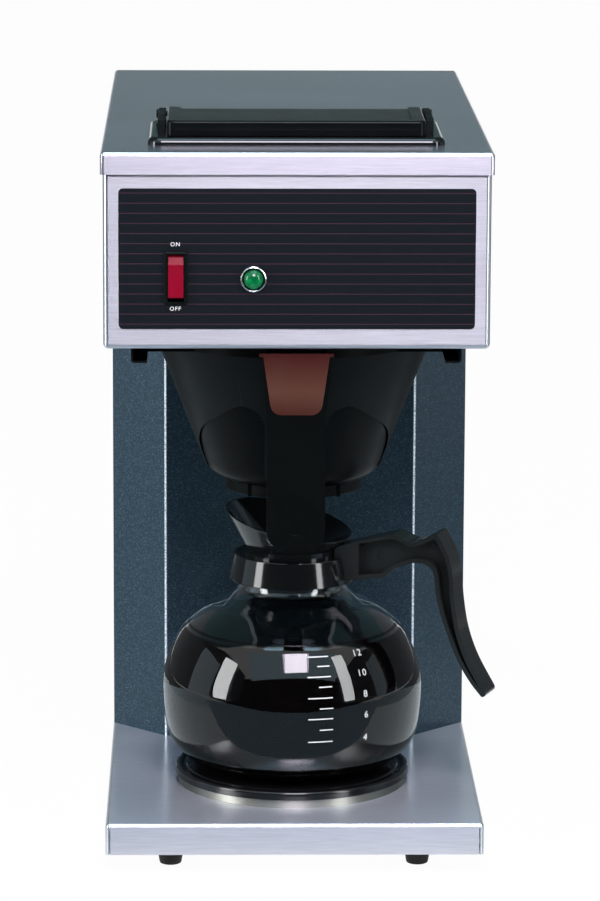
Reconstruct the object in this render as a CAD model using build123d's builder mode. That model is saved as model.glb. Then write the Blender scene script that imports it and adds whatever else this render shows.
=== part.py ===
"""Pour-over coffee brewer: a sheet-steel brewer with a slide-in brew cone, a warmer and a glass carafe.

Everything is drawn in machine coordinates: x = 0 is the centre line, y = 0 is the front panel,
z = 0 is the counter. The planes below carry those coordinates into the object's own frame, whose
origin is the bottom centre of the whole object's box. Sizes are in millimetres.
"""

import os
from math import cos, radians, sin

from build123d import *

os.makedirs("parts", exist_ok=True)

# Overall sizes
body_width = 213.5
body_depth = 396.0
foot_height = 12.0
base_height = 18.0
head_bottom = 301.5
head_height = 97.1
lid_height = 12.5
sheet = 1.0
painted_sheet = 1.2
bend_radius = 2.2
lid_side_gap = 0.4
lid_front_overhang = 1.5

# Column
panel_y = 193.0
panel_half_width = 74.4
wing_y = 225.0
column_half_width = 106.4
column_bend_radius = 1.8

# Brewing axis, shared by the warmer, the carafe, the cone and the spray head
brew_y = 98.0

# Warmer
warmer_radius = 68.0
warmer_height = 10.0
enamel_thickness = 1.6
warmer_rim_depth = 5.0
ring_radius = 66.2
ring_wall = 1.0
element_radius = 54.0
element_thickness = 3.0
warmer_hole_radius = 57.0

# Front panel
label_half_width = 98.2
label_margin = 11.5
label_height = 78.0
label_corner = 2.5
label_thickness = 0.4
switch_x = -66.7
switch_rise = 39.9
switch_half_width = 6.6
switch_half_height = 14.7
switch_proud = 1.8
switch_depth = 24.0
rocker_half_width = 4.2
rocker_half_height = 11.9
rocker_tilt = 11.0
rocker_pin_radius = 1.2
rocker_pin_y = 4.0
lamp_x = -24.0
lamp_rise = 39.4
lamp_radius = 7.3
lens_radius = 5.8
lamp_body_radius = 5.2
lamp_depth = 20.0

# Fill basin in the lid
basin_half_width = 82.5
basin_front = 25.7
basin_back = 111.0
basin_corner = 12.0
basin_rim_height = 4.4
basin_drop = 28.1
basin_wall = 2.0
well_half_width = 62.0
well_front = 37.0
well_back = 88.0
ear_inner = 72.9
ear_thickness = 4.2
ear_front = 54.0
ear_height = 6.6
cover_half_width = 71.9
cover_front = 32.0
cover_back = 97.0
cover_height = 8.7
cover_wall = 1.8
cover_border = 5.4
cover_gap = 0.3
hinge_y = 103.0
hinge_radius = 3.0
hinge_pin_radius = 1.5
hinge_height = 4.0

# Basket rails and brew cone
rail_outer = 91.7
rail_inner = 81.6
rail_drop = 9.8
rail_front = 12.0
rail_back = 186.0
rail_sheet = 1.2
cone_drop = 3.5
flange_thickness = 4.8
flange_gap = 0.3
flange_reach = 58.0
skirt_top_radius = 81.2
skirt_bottom_radius = 50.2
skirt_height = 80.0
skirt_wall = 2.4
bowl_depth = 87.0
bowl_bottom_radius = 39.6
bowl_wall = 2.0
outlet_radius = 11.0
outlet_drop = 14.5
outlet_bore = 3.5
foot_ring_drop = 10.5
strap_y = 6.0
strap_half_width_top = 21.0
strap_half_width = 16.2
strap_plate = 3.6
strap_side = 2.4
paddle_drop = 110.8
paddle_corner = 9.0
paddle_depth = 9.0
recess_radius = 11.0
recess_depth = 0.6
recess_rise = 18.8
tab_height = 34.6
tab_half_width_top = 18.4
tab_half_width = 14.3
tab_corner = 6.0
tab_flange_half = 20.6
tab_flange_height = 1.8
tab_thickness = 2.4

# Carafe
handle_angle = 21.5
carafe_gap = 0.2
globe_radius = 75.3
glass_wall = 2.2
glass_foot_radius = 40.0
neck_radius = 30.4
glass_height = 123.8
coffee_depth = 82.8
collar_drop = 13.4
collar_height = 15.0
collar_bottom_thickness = 6.3
collar_top_thickness = 3.2
collar_wall = 2.6
groove_inset = 2.2
groove_height = 3.8
funnel_throat = 21.0
funnel_bore = 17.0
rim_radius = 37.4
rim_shift = 2.5
rim_rise = 13.6
rim_slope = 0.233
funnel_wall = 1.6
handle_width = 17.0
handle_web = 4.4

# Water system inside the head
tank_half_width = 88.0
tank_front = 34.0
tank_back = 184.0
tank_lift = 10.5
tank_height = 62.0
heater_radius = 4.0
spray_radius = 30.0
spray_thickness = 4.0
tube_radius = 6.0
tube_bore = 4.5

# Fasteners
screw_head_radius = 3.4
screw_head_height = 1.8
screw_shank_radius = 1.9
screw_length = 6.0
foot_x = 70.3
foot_y = 26.0
foot_top_radius = 8.0
foot_bottom_radius = 6.2

# Heights and half sizes that follow from the sizes above
half_width = body_width / 2
base_top = foot_height + base_height
head_top = head_bottom + head_height
lid_half_width = half_width + lid_side_gap + sheet
lid_front = -lid_front_overhang
lid_back = body_depth + lid_front_overhang
lid_top = head_top + lid_height
warmer_top = base_top + warmer_height
floor_plate_z = head_bottom + sheet
basin_top = lid_top + basin_rim_height
carafe_bottom = warmer_top + carafe_gap
hinge_z = basin_top + hinge_height
cover_top = basin_top + cover_height
label_bottom = head_bottom + label_margin
label_top = label_bottom + label_height
switch_z = head_bottom + switch_rise
lamp_z = head_bottom + lamp_rise
tank_bottom = head_bottom + tank_lift
tank_top = tank_bottom + tank_height
basin_floor = lid_top - basin_drop
cone_top = head_bottom - cone_drop
skirt_bottom = cone_top - skirt_height
bowl_bottom = cone_top - bowl_depth
outlet_bottom = bowl_bottom - outlet_drop
foot_ring_bottom = bowl_bottom - foot_ring_drop
paddle_bottom = cone_top - paddle_drop
recess_z = paddle_bottom + recess_rise
tab_bottom = cone_top - tab_height
glass_top = carafe_bottom + glass_height
coffee_level = carafe_bottom + coffee_depth
collar_bottom = glass_top - collar_drop
collar_top = collar_bottom + collar_height
collar_bottom_radius = neck_radius + collar_bottom_thickness
collar_top_radius = neck_radius + collar_top_thickness
groove_radius = neck_radius - groove_inset
groove_top = collar_top + groove_height
rim_height = groove_top + rim_rise

# The carafe handle reaches past the lid, so the box's centre lies to the right of the centre line.
handle_reach = 124.6
lens_proud = 6.0
frame_x = (handle_reach * cos(radians(handle_angle)) - lid_half_width) / 2
frame_y = (lid_back + screw_head_height - lens_proud) / 2

# Planes in machine coordinates
machine_origin = (-frame_x, -frame_y, 0)
brew_origin = (-frame_x, brew_y - frame_y, 0)
floor = Plane(origin=machine_origin)
front = Plane(origin=machine_origin, x_dir=(1, 0, 0), z_dir=(0, -1, 0))
side = Plane(origin=machine_origin, x_dir=(0, 1, 0), z_dir=(1, 0, 0))
brew_floor = Plane(origin=brew_origin)
brew_section = Plane(origin=brew_origin, x_dir=(1, 0, 0), z_dir=(0, -1, 0))
brew_axis = Axis(brew_origin, (0, 0, 1))
handle_direction = (cos(radians(handle_angle)), -sin(radians(handle_angle)), 0)
handle_normal = (-sin(radians(handle_angle)), -cos(radians(handle_angle)), 0)
handle_plane = Plane(origin=brew_origin, x_dir=handle_direction, z_dir=handle_normal)
bottom_align = (Align.CENTER, Align.CENTER, Align.MIN)
top_align = (Align.CENTER, Align.CENTER, Align.MAX)


def box_between(x_range, y_range, z_range, mode=Mode.ADD):
    """A box between two x, two y and two z values, in machine coordinates."""
    with BuildSketch(floor.offset(z_range[0]), mode=Mode.PRIVATE) as outline:
        with Locations(((x_range[0] + x_range[1]) / 2, (y_range[0] + y_range[1]) / 2)):
            Rectangle(x_range[1] - x_range[0], y_range[1] - y_range[0])
    extrude(to_extrude=outline.sketch, amount=z_range[1] - z_range[0], mode=mode)


def pan(half_x, y_range, z_range, corner):
    """A closed block with its upright corners and its top edges bent to one radius."""
    with BuildPart() as block:
        box_between((-half_x, half_x), y_range, z_range)
        fillet(block.edges().filter_by(Axis.Z), corner)
        fillet(block.faces().sort_by(Axis.Z)[-1].edges(), corner)
    return block.part


def trough(half_x, y_range, z_range, corner):
    """A block bent along its front upright corners and its lower front and side edges."""
    with BuildPart() as block:
        box_between((-half_x, half_x), y_range, z_range)
        fillet(block.edges().filter_by(Axis.Z).group_by(Axis.Y)[0], corner)
        lower_edges = block.faces().sort_by(Axis.Z)[0].edges()
        fillet(lower_edges.sort_by(Axis.Y)[:-1], corner)
    return block.part


def turned(points, name):
    """A solid of revolution about the brewing axis from radius and height points."""
    with BuildPart() as body:
        with BuildSketch(brew_section):
            with BuildLine():
                Polyline(*points, close=True)
            make_face()
        revolve(axis=brew_axis)
    body.part.label = name
    return body.part


# Base pan: a bent stainless tray, open below, with the warmer's hole in its top
with BuildPart() as base_pan:
    add(pan(half_width, (0, body_depth), (foot_height, base_top), bend_radius))
    add(
        pan(
            half_width - sheet,
            (sheet, body_depth - sheet),
            (foot_height - base_height, base_top - sheet),
            bend_radius - sheet,
        ),
        mode=Mode.SUBTRACT,
    )
    with BuildSketch(brew_floor.offset(base_top)):
        Circle(warmer_hole_radius)
    extrude(amount=-2 * sheet, mode=Mode.SUBTRACT)
    with BuildSketch(floor.offset(base_top)):
        with Locations((0, (wing_y + body_depth) / 2)):
            RectangleRounded(panel_half_width, (body_depth - wing_y) / 2, bend_radius)
    extrude(amount=-2 * sheet, mode=Mode.SUBTRACT)
base_pan.part.label = "base_pan"
export_step(base_pan.part, "parts/base_pan.step")

# Base cover plate: closes the pan from below
plate_clearance = 0.3
plate_half_width = half_width - sheet - plate_clearance
plate_back = body_depth - sheet - plate_clearance
foot_places = [(x, y) for x in (-foot_x, foot_x) for y in (foot_y, body_depth - foot_y)]
base_screw_places = [
    (x, y) for x in (-foot_x - 22, foot_x + 22) for y in (foot_y + 60, body_depth - foot_y - 60)
]
with BuildPart() as base_cover_plate:
    box_between(
        (-plate_half_width, plate_half_width),
        (sheet + plate_clearance, plate_back),
        (foot_height, foot_height + painted_sheet),
    )
    fillet(base_cover_plate.edges().filter_by(Axis.Z), bend_radius)
    with BuildSketch(floor.offset(foot_height)):
        with Locations(*foot_places):
            Circle(screw_shank_radius)
        with Locations(*base_screw_places):
            Circle(screw_shank_radius)
    extrude(amount=painted_sheet, mode=Mode.SUBTRACT)
base_cover_plate.part.label = "base_cover_plate"
export_step(base_cover_plate.part, "parts/base_cover_plate.step")

# Rubber feet: four tapered feet, each counterbored for its screw
foot_bore_depth = 5.0
with BuildPart(floor) as rubber_feet:
    with Locations(*[(x, y, 0) for x, y in foot_places]):
        Cone(foot_bottom_radius, foot_top_radius, foot_height, align=bottom_align)
    fillet(rubber_feet.edges().group_by(Axis.Z)[0], 1.0)
    with Locations(*[(x, y, 0) for x, y in foot_places]):
        Cylinder(screw_head_radius, foot_bore_depth, align=bottom_align, mode=Mode.SUBTRACT)
        Cylinder(screw_shank_radius, foot_height, align=bottom_align, mode=Mode.SUBTRACT)
rubber_feet.part.label = "rubber_feet"
export_step(rubber_feet.part, "parts/rubber_feet.step")

# Foot screws: one up through each foot into the base cover plate
foot_screw_top = foot_height + painted_sheet + 2.0
with BuildPart(floor) as foot_screws:
    with Locations(*[(x, y, foot_bore_depth) for x, y in foot_places]):
        Cylinder(screw_head_radius, screw_head_height, align=top_align)
        Cylinder(screw_shank_radius, foot_screw_top - foot_bore_depth, align=bottom_align)
foot_screws.part.label = "foot_screws"
export_step(foot_screws.part, "parts/foot_screws.step")

# Base cover screws, up into the cover plate
with BuildPart(floor) as base_screws:
    with Locations(*[(x, y, foot_height) for x, y in base_screw_places]):
        Cylinder(screw_head_radius, screw_head_height, align=top_align)
        Cylinder(screw_shank_radius, screw_length, align=bottom_align)
base_screws.part.label = "base_screws"
export_step(base_screws.part, "parts/base_screws.step")

# Warmer ring: a stainless skirt with a foot flange on the base and a ledge under the plate
ledge_z = warmer_top - enamel_thickness
ledge_width = 5.0
warmer_ring = turned(
    [
        (warmer_hole_radius + 2, base_top),
        (ring_radius, base_top),
        (ring_radius, ledge_z),
        (ring_radius - ledge_width, ledge_z),
        (ring_radius - ledge_width, ledge_z - ring_wall),
        (ring_radius - ring_wall, ledge_z - ring_wall),
        (ring_radius - ring_wall, base_top + ring_wall),
        (warmer_hole_radius + 2, base_top + ring_wall),
    ],
    "warmer_ring",
)
export_step(warmer_ring, "parts/warmer_ring.step")

# Warmer plate: an enamelled disc, its flat level with a bead that rolls down over the ring
bead_radius = 2.0
groove_inner = warmer_radius - 7.0
groove_outer = warmer_radius - 4.4
groove_depth = 0.9
rim_bottom = warmer_top - warmer_rim_depth
with BuildPart() as warmer_plate:
    with BuildSketch(brew_section):
        with BuildLine():
            Polyline(
                (0, ledge_z),
                (0, warmer_top),
                (groove_inner, warmer_top),
                (groove_inner + 0.6, warmer_top - groove_depth),
                (groove_outer, warmer_top - groove_depth),
                (groove_outer + 0.6, warmer_top),
                (warmer_radius - bead_radius, warmer_top),
            )
            RadiusArc(
                (warmer_radius - bead_radius, warmer_top),
                (warmer_radius, warmer_top - bead_radius),
                bead_radius,
            )
            Polyline(
                (warmer_radius, warmer_top - bead_radius),
                (warmer_radius, rim_bottom),
                (ring_radius + 0.1, rim_bottom),
                (ring_radius + 0.1, ledge_z),
                (0, ledge_z),
            )
        make_face()
    revolve(axis=brew_axis)
warmer_plate.part.label = "warmer_plate"
export_step(warmer_plate.part, "parts/warmer_plate.step")

# Warmer element: a flat mica heater pressed against the plate's underside
with BuildPart() as warmer_element:
    with BuildSketch(brew_floor.offset(ledge_z)):
        Circle(element_radius)
    extrude(amount=-element_thickness)
    with BuildSketch(brew_floor.offset(ledge_z - element_thickness)):
        with Locations((-12, 18), (12, 18)):
            Rectangle(6.5, 1.2)
    extrude(amount=-7)
warmer_element.part.label = "warmer_element"
export_step(warmer_element.part, "parts/warmer_element.step")

# Element clamp: a sprung bridge under the element, its ends resting on the base cover plate
clamp_top = ledge_z - element_thickness
clamp_thickness = 1.5
clamp_half_length = 48.0
clamp_half_width = 8.0
clamp_foot = 12.0
with BuildPart(brew_floor) as element_clamp:
    with Locations((0, 0, clamp_top)):
        Box(2 * clamp_half_length, 2 * clamp_half_width, clamp_thickness, align=top_align)
    leg_height = clamp_top - foot_height - painted_sheet
    with Locations((-clamp_half_length, 0, clamp_top), (clamp_half_length, 0, clamp_top)):
        Box(clamp_thickness, 2 * clamp_half_width, leg_height, align=top_align)
    clamp_low = clamp_top - leg_height
    with Locations((-clamp_half_length, 0, clamp_low), (clamp_half_length, 0, clamp_low)):
        Box(clamp_foot, 2 * clamp_half_width, clamp_thickness, align=bottom_align)
element_clamp.part.label = "element_clamp"
export_step(element_clamp.part, "parts/element_clamp.step")

# Terminal block: on the base cover plate, behind the column's foot
terminal_y = 310.0
with BuildPart(floor) as terminal_block:
    with Locations((0, terminal_y, foot_height + painted_sheet)):
        Box(54, 18, 12, align=bottom_align)
    with Locations(*[(x, terminal_y, foot_height + painted_sheet + 12) for x in (-18, 0, 18)]):
        Cylinder(2.6, 4, align=top_align, mode=Mode.SUBTRACT)
terminal_block.part.label = "terminal_block"
export_step(terminal_block.part, "parts/terminal_block.step")

# Column shell: one painted sheet, bent into a centre panel, two raked wings and two sides
column_top = head_bottom
rear_clearance = 0.3
rear_flange = 18.0
flange_x = column_half_width - painted_sheet - rear_flange / 2
flange_y = body_depth - rear_clearance - 1.5 * painted_sheet
column_inner = column_half_width - painted_sheet - rear_clearance
rear_screw_places = [
    (x, z) for x in (-column_inner + 9, column_inner - 9) for z in (base_top + 12, head_bottom - 20)
]
with BuildPart() as column_shell:
    with BuildSketch(floor.offset(base_top)) as column_outline:
        with BuildLine():
            Polyline(
                (-column_half_width, body_depth),
                (-column_half_width, wing_y),
                (-panel_half_width, panel_y),
                (panel_half_width, panel_y),
                (column_half_width, wing_y),
                (column_half_width, body_depth),
                close=True,
            )
        make_face()
        fillet(column_outline.vertices().group_by(Axis.Y)[0], column_bend_radius)
        fillet(column_outline.vertices().sort_by(Axis.Y)[-4:-2], column_bend_radius)
        offset(amount=-painted_sheet, kind=Kind.INTERSECTION, mode=Mode.SUBTRACT)
        with Locations((0, body_depth)):
            Rectangle(2 * (column_half_width - painted_sheet), 4 * painted_sheet, mode=Mode.SUBTRACT)
        with Locations((-flange_x, flange_y), (flange_x, flange_y)):
            Rectangle(rear_flange, painted_sheet)
    extrude(amount=column_top - base_top)
    with BuildSketch(front.offset(-body_depth)):
        with Locations(*rear_screw_places):
            Circle(screw_shank_radius)
    extrude(amount=3 * painted_sheet, mode=Mode.SUBTRACT)
column_shell.part.label = "column_shell"
export_step(column_shell.part, "parts/column_shell.step")

# Rear panel: closes the column and the head from behind, with louvre slots and the cord's hole
rear_half_width = half_width - sheet - rear_clearance
cord_x = 62.0
cord_z = 58.0
cord_hole_radius = 7.0
rear_top = lid_top - sheet - 3 * rear_clearance
lid_screw_places = [(-60, lid_top - 7), (60, lid_top - 7)]
with BuildPart() as rear_panel:
    with BuildSketch(front.offset(-body_depth)):
        with Locations((0, (base_top + head_bottom) / 2)):
            Rectangle(2 * column_inner, head_bottom - base_top)
        with Locations((0, (floor_plate_z + rear_top) / 2)):
            RectangleRounded(2 * rear_half_width, rear_top - floor_plate_z, bend_radius)
        with Locations((0, head_bottom)):
            Rectangle(2 * column_inner - 30, 8)
        with Locations((cord_x, cord_z)):
            Circle(cord_hole_radius, mode=Mode.SUBTRACT)
        with Locations((0, 250)):
            with GridLocations(0, 9, 1, 6):
                SlotOverall(90, 3.4, mode=Mode.SUBTRACT)
        with Locations(*rear_screw_places, *lid_screw_places):
            Circle(screw_shank_radius, mode=Mode.SUBTRACT)
    extrude(amount=painted_sheet)
rear_panel.part.label = "rear_panel"
export_step(rear_panel.part, "parts/rear_panel.step")

# Head shell: a bent stainless wrap, front and sides in one, turned in below; its top sits in the lid
head_corner = 3.0
lid_seat_gap = 0.6
shell_top = lid_top - sheet - lid_seat_gap
floor_opening_half = 92.0
floor_opening_front = rail_front - 0.4
floor_opening_back = rail_back + 4.0
wiring_opening_front = 205.0
panel_hole_clearance = 0.2
switch_body_half_width = switch_half_width - 1.0
switch_body_half_height = switch_half_height - 1.0
with BuildPart() as head_shell:
    add(trough(half_width, (0, body_depth), (head_bottom, shell_top), head_corner))
    add(
        trough(
            half_width - sheet,
            (sheet, body_depth + head_corner),
            (floor_plate_z, shell_top + head_corner),
            head_corner - sheet,
        ),
        mode=Mode.SUBTRACT,
    )
    box_between(
        (-floor_opening_half, floor_opening_half),
        (floor_opening_front, floor_opening_back),
        (head_bottom - sheet, floor_plate_z),
        mode=Mode.SUBTRACT,
    )
    box_between(
        (-floor_opening_half, floor_opening_half),
        (wiring_opening_front, body_depth + sheet),
        (head_bottom - sheet, floor_plate_z),
        mode=Mode.SUBTRACT,
    )
    with BuildSketch(front):
        with Locations((switch_x, switch_z)):
            Rectangle(
                2 * (switch_body_half_width + panel_hole_clearance),
                2 * (switch_body_half_height + panel_hole_clearance),
            )
        with Locations((lamp_x, lamp_z)):
            Circle(lamp_body_radius + panel_hole_clearance)
    extrude(amount=-2 * sheet, mode=Mode.SUBTRACT)
head_shell.part.label = "head_shell"
export_step(head_shell.part, "parts/head_shell.step")

# Head floor: the plate that carries the spray head and the basket rails
floor_plate_half = half_width - head_corner - 0.3
floor_plate_top = floor_plate_z + painted_sheet
rail_middle = (rail_outer + rail_inner) / 2
rail_screw_inset = 24.0
rail_screw_places = [
    (x, y)
    for x in (-rail_middle, rail_middle)
    for y in (rail_front + rail_screw_inset, rail_back - rail_screw_inset)
]
with BuildPart() as head_floor:
    box_between(
        (-floor_plate_half, floor_plate_half),
        (head_corner + 0.3, wiring_opening_front - 5),
        (floor_plate_z, floor_plate_top),
    )
    with BuildSketch(floor.offset(floor_plate_z)):
        with Locations((0, brew_y)):
            Circle(tube_radius)
        with Locations(*rail_screw_places):
            Circle(screw_shank_radius)
    extrude(amount=painted_sheet, mode=Mode.SUBTRACT)
head_floor.part.label = "head_floor"
export_step(head_floor.part, "parts/head_floor.step")


def rail(side_sign):
    """One C-shaped basket rail, open towards the centre line, bent from painted sheet."""
    low = head_bottom - rail_drop
    outer = side_sign * rail_outer
    inner = side_sign * rail_inner
    middle = (outer + inner) / 2
    height = floor_plate_z - low
    with BuildPart() as channel:
        with BuildSketch(front.offset(-rail_front)):
            with Locations((middle, (low + floor_plate_z) / 2)):
                RectangleRounded(rail_outer - rail_inner, height, painted_sheet + 0.8)
            with Locations((middle - side_sign * rail_sheet, (low + floor_plate_z) / 2)):
                Rectangle(rail_outer - rail_inner, height - 2 * rail_sheet, mode=Mode.SUBTRACT)
            with Locations((inner + side_sign * 0.6, (low + floor_plate_z) / 2)):
                Rectangle(1.2, height, mode=Mode.SUBTRACT)
        extrude(amount=rail_front - rail_back)
        with BuildSketch(floor.offset(floor_plate_z)):
            with Locations(*[place for place in rail_screw_places if place[0] * side_sign > 0]):
                Circle(screw_shank_radius)
        extrude(amount=-1.5 * rail_sheet, mode=Mode.SUBTRACT)
    return channel.part


# Basket rails: the two channels that the brew cone's flange slides in
left_basket_rail = rail(-1)
left_basket_rail.label = "left_basket_rail"
export_step(left_basket_rail, "parts/left_basket_rail.step")
right_basket_rail = rail(1)
right_basket_rail.label = "right_basket_rail"
export_step(right_basket_rail, "parts/right_basket_rail.step")

# Rail screws: up through each rail's top flange into the head floor
rail_flange_bottom = floor_plate_z - rail_sheet
rail_screw_head = 1.2
with BuildPart(floor) as rail_screws:
    with Locations(*[(x, y, rail_flange_bottom) for x, y in rail_screw_places]):
        Cylinder(screw_head_radius, rail_screw_head, align=top_align)
        Cylinder(screw_shank_radius, rail_sheet + painted_sheet + 1.0, align=bottom_align)
rail_screws.part.label = "rail_screws"
export_step(rail_screws.part, "parts/rail_screws.step")

# Top lid: a bent stainless cover, open at its front corner seams, with the basin's hole
seam_width = 0.5
well_gap = 0.3
lid_bend = 2.4
with BuildPart() as top_lid:
    add(pan(lid_half_width, (lid_front, lid_back), (head_top, lid_top), lid_bend))
    add(
        pan(
            lid_half_width - sheet,
            (lid_front + sheet, lid_back - sheet),
            (head_top - lid_height, lid_top - sheet),
            lid_bend - sheet,
        ),
        mode=Mode.SUBTRACT,
    )
    for seam_x in (-lid_half_width + lid_bend, lid_half_width - lid_bend):
        box_between(
            (seam_x - seam_width / 2, seam_x + seam_width / 2),
            (lid_front - sheet, lid_front + 2 * sheet),
            (head_top - sheet, lid_top - lid_bend - 0.6),
            mode=Mode.SUBTRACT,
        )
    box_between(
        (-well_half_width - basin_wall - well_gap, well_half_width + basin_wall + well_gap),
        (well_front - basin_wall - well_gap, well_back + basin_wall + well_gap),
        (lid_top - 2 * sheet, lid_top + sheet),
        mode=Mode.SUBTRACT,
    )
    with BuildSketch(front.offset(-lid_back)):
        with Locations(*lid_screw_places):
            Circle(screw_shank_radius)
    extrude(amount=2 * sheet, mode=Mode.SUBTRACT)
top_lid.part.label = "top_lid"
export_step(top_lid.part, "parts/top_lid.step")

# Lid screws: two through the lid's rear flange into the rear panel
with BuildPart() as lid_screws:
    with BuildSketch(front.offset(-lid_back)):
        with Locations(*lid_screw_places):
            Circle(screw_head_radius)
    extrude(amount=-screw_head_height)
    with BuildSketch(front.offset(-lid_back)):
        with Locations(*lid_screw_places):
            Circle(screw_shank_radius)
    extrude(amount=screw_length)
lid_screws.part.label = "lid_screws"
export_step(lid_screws.part, "parts/lid_screws.step")

# Rear screws: through the rear panel into the column's flanges
with BuildPart() as rear_screws:
    with BuildSketch(front.offset(-body_depth)):
        with Locations(*rear_screw_places):
            Circle(screw_head_radius)
    extrude(amount=-0.8)
    with BuildSketch(front.offset(-body_depth)):
        with Locations(*rear_screw_places):
            Circle(screw_shank_radius)
    extrude(amount=screw_length)
rear_screws.part.label = "rear_screws"
export_step(rear_screws.part, "parts/rear_screws.step")

# Cord bushing: a flanged plastic ring in the rear panel's hole
with BuildPart() as cord_bushing:
    with BuildSketch(front.offset(-body_depth)):
        with Locations((cord_x, cord_z)):
            Circle(cord_hole_radius + 2.6)
    extrude(amount=-2.2)
    fillet(cord_bushing.edges().group_by(Axis.Y)[-1], 1.0)
    with BuildSketch(front.offset(-body_depth)):
        with Locations((cord_x, cord_z)):
            Circle(cord_hole_radius)
    extrude(amount=6)
    with BuildSketch(front.offset(-body_depth - 4)):
        with Locations((cord_x, cord_z)):
            Circle(cord_hole_radius - 2.6)
    extrude(amount=14, mode=Mode.SUBTRACT)
cord_bushing.part.label = "cord_bushing"
export_step(cord_bushing.part, "parts/cord_bushing.step")

# Control label: a thin overlay on the front panel, pierced for the switch and the lamp
with BuildPart() as control_label:
    with BuildSketch(front):
        with Locations((0, (label_bottom + label_top) / 2)):
            RectangleRounded(2 * label_half_width, label_top - label_bottom, label_corner)
        with Locations((switch_x, switch_z)):
            Rectangle(
                2 * (switch_body_half_width + panel_hole_clearance),
                2 * (switch_body_half_height + panel_hole_clearance),
                mode=Mode.SUBTRACT,
            )
        with Locations((lamp_x, lamp_z)):
            Circle(lamp_body_radius + panel_hole_clearance, mode=Mode.SUBTRACT)
    extrude(amount=label_thickness)
control_label.part.label = "control_label"
export_step(control_label.part, "parts/control_label.step")

# Switch housing: a framed box through the panel, hollow in front for the rocker
rocker_front_reach = rocker_pin_y + 2.8
rocker_gap = 0.3
rocker_side_gap = 0.35
cavity_half_height = (
    rocker_half_height * cos(radians(rocker_tilt))
    + rocker_front_reach * sin(radians(rocker_tilt))
    + rocker_gap
)
cavity_half_width = rocker_half_width + rocker_side_gap
cavity_back = rocker_pin_y + 5.0
pin_gap = 0.05
with BuildPart() as switch_housing:
    with BuildSketch(front.offset(label_thickness)):
        with Locations((switch_x, switch_z)):
            RectangleRounded(2 * switch_half_width, 2 * switch_half_height, 1.4)
    extrude(amount=switch_proud)
    fillet(switch_housing.faces().sort_by(Axis.Y)[0].edges(), 0.8)
    with BuildSketch(front.offset(label_thickness)):
        with Locations((switch_x, switch_z)):
            Rectangle(2 * switch_body_half_width, 2 * switch_body_half_height)
    extrude(amount=-switch_depth - label_thickness)
    with BuildSketch(front.offset(-switch_depth)):
        with Locations((switch_x, switch_z - 8), (switch_x, switch_z + 8)):
            Rectangle(5.0, 0.8)
    extrude(amount=-6)
    with BuildSketch(front.offset(label_thickness + switch_proud)):
        with Locations((switch_x, switch_z)):
            Rectangle(2 * cavity_half_width, 2 * cavity_half_height)
    extrude(amount=-switch_proud - label_thickness - cavity_back, mode=Mode.SUBTRACT)
    with BuildSketch(side.offset(switch_x - switch_body_half_width)):
        with Locations((rocker_pin_y, switch_z)):
            Circle(rocker_pin_radius + pin_gap)
    extrude(amount=2 * switch_body_half_width, mode=Mode.SUBTRACT)
switch_housing.part.label = "switch_housing"
export_step(switch_housing.part, "parts/switch_housing.step")

# Rocker: pressed in at its top, which is ON; its two pins turn in the housing's walls
rocker_center = (switch_x - frame_x, rocker_pin_y - frame_y, switch_z)
rocker_across = (0, cos(radians(rocker_tilt)), -sin(radians(rocker_tilt)))
rocker_plane = Plane(origin=rocker_center, x_dir=rocker_across, z_dir=(1, 0, 0))
rocker_end_back = 1.0
rocker_back = 4.0
rocker_valley = 2.3
with BuildPart() as rocker:
    with BuildSketch(rocker_plane.offset(-rocker_half_width)):
        with BuildLine():
            Polyline(
                (-rocker_front_reach, rocker_half_height),
                (-rocker_front_reach + rocker_valley, 0),
                (-rocker_front_reach, -rocker_half_height),
                (-rocker_end_back, -rocker_half_height),
                (rocker_back, -rocker_back),
                (rocker_back, rocker_back),
                (-rocker_end_back, rocker_half_height),
                close=True,
            )
        make_face()
    extrude(amount=2 * rocker_half_width)
    rocker_front_edges = rocker.edges().filter_by(Axis.X).sort_by(Axis.Y)[:3].sort_by(Axis.Z)
    fillet([rocker_front_edges[0], rocker_front_edges[-1]], 0.6)
    with BuildSketch(rocker_plane.offset(-switch_body_half_width + 0.2)):
        Circle(rocker_pin_radius)
    extrude(amount=2 * switch_body_half_width - 0.4)
rocker.part.label = "rocker"
export_step(rocker.part, "parts/rocker.step")

# Lamp: a chromed bezel with a threaded sleeve, a green jewel and the small bulb behind it
lamp_origin = (lamp_x - frame_x, -frame_y, lamp_z)
lamp_section = Plane(origin=lamp_origin, x_dir=(1, 0, 0), z_dir=(0, 0, 1))
lamp_axis = Axis(lamp_origin, (0, 1, 0))
bezel_proud = 2.4
lens_seat = 1.4
stem_radius = 4.2
with BuildPart() as lamp_bezel:
    with BuildSketch(lamp_section):
        with BuildLine():
            Polyline(
                (lens_radius + 0.05, -label_thickness - bezel_proud),
                (lamp_radius - 0.8, -label_thickness - bezel_proud),
                (lamp_radius, -label_thickness - bezel_proud + 1.2),
                (lamp_radius, -label_thickness),
                (lamp_body_radius, -label_thickness),
                (lamp_body_radius, lamp_depth),
                (stem_radius + 0.05, lamp_depth),
                (stem_radius + 0.05, -label_thickness - bezel_proud + lens_seat),
                (lens_radius + 0.05, -label_thickness - bezel_proud + lens_seat),
                close=True,
            )
        make_face()
    revolve(axis=lamp_axis)
lamp_bezel.part.label = "lamp_bezel"
export_step(lamp_bezel.part, "parts/lamp_bezel.step")

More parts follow.
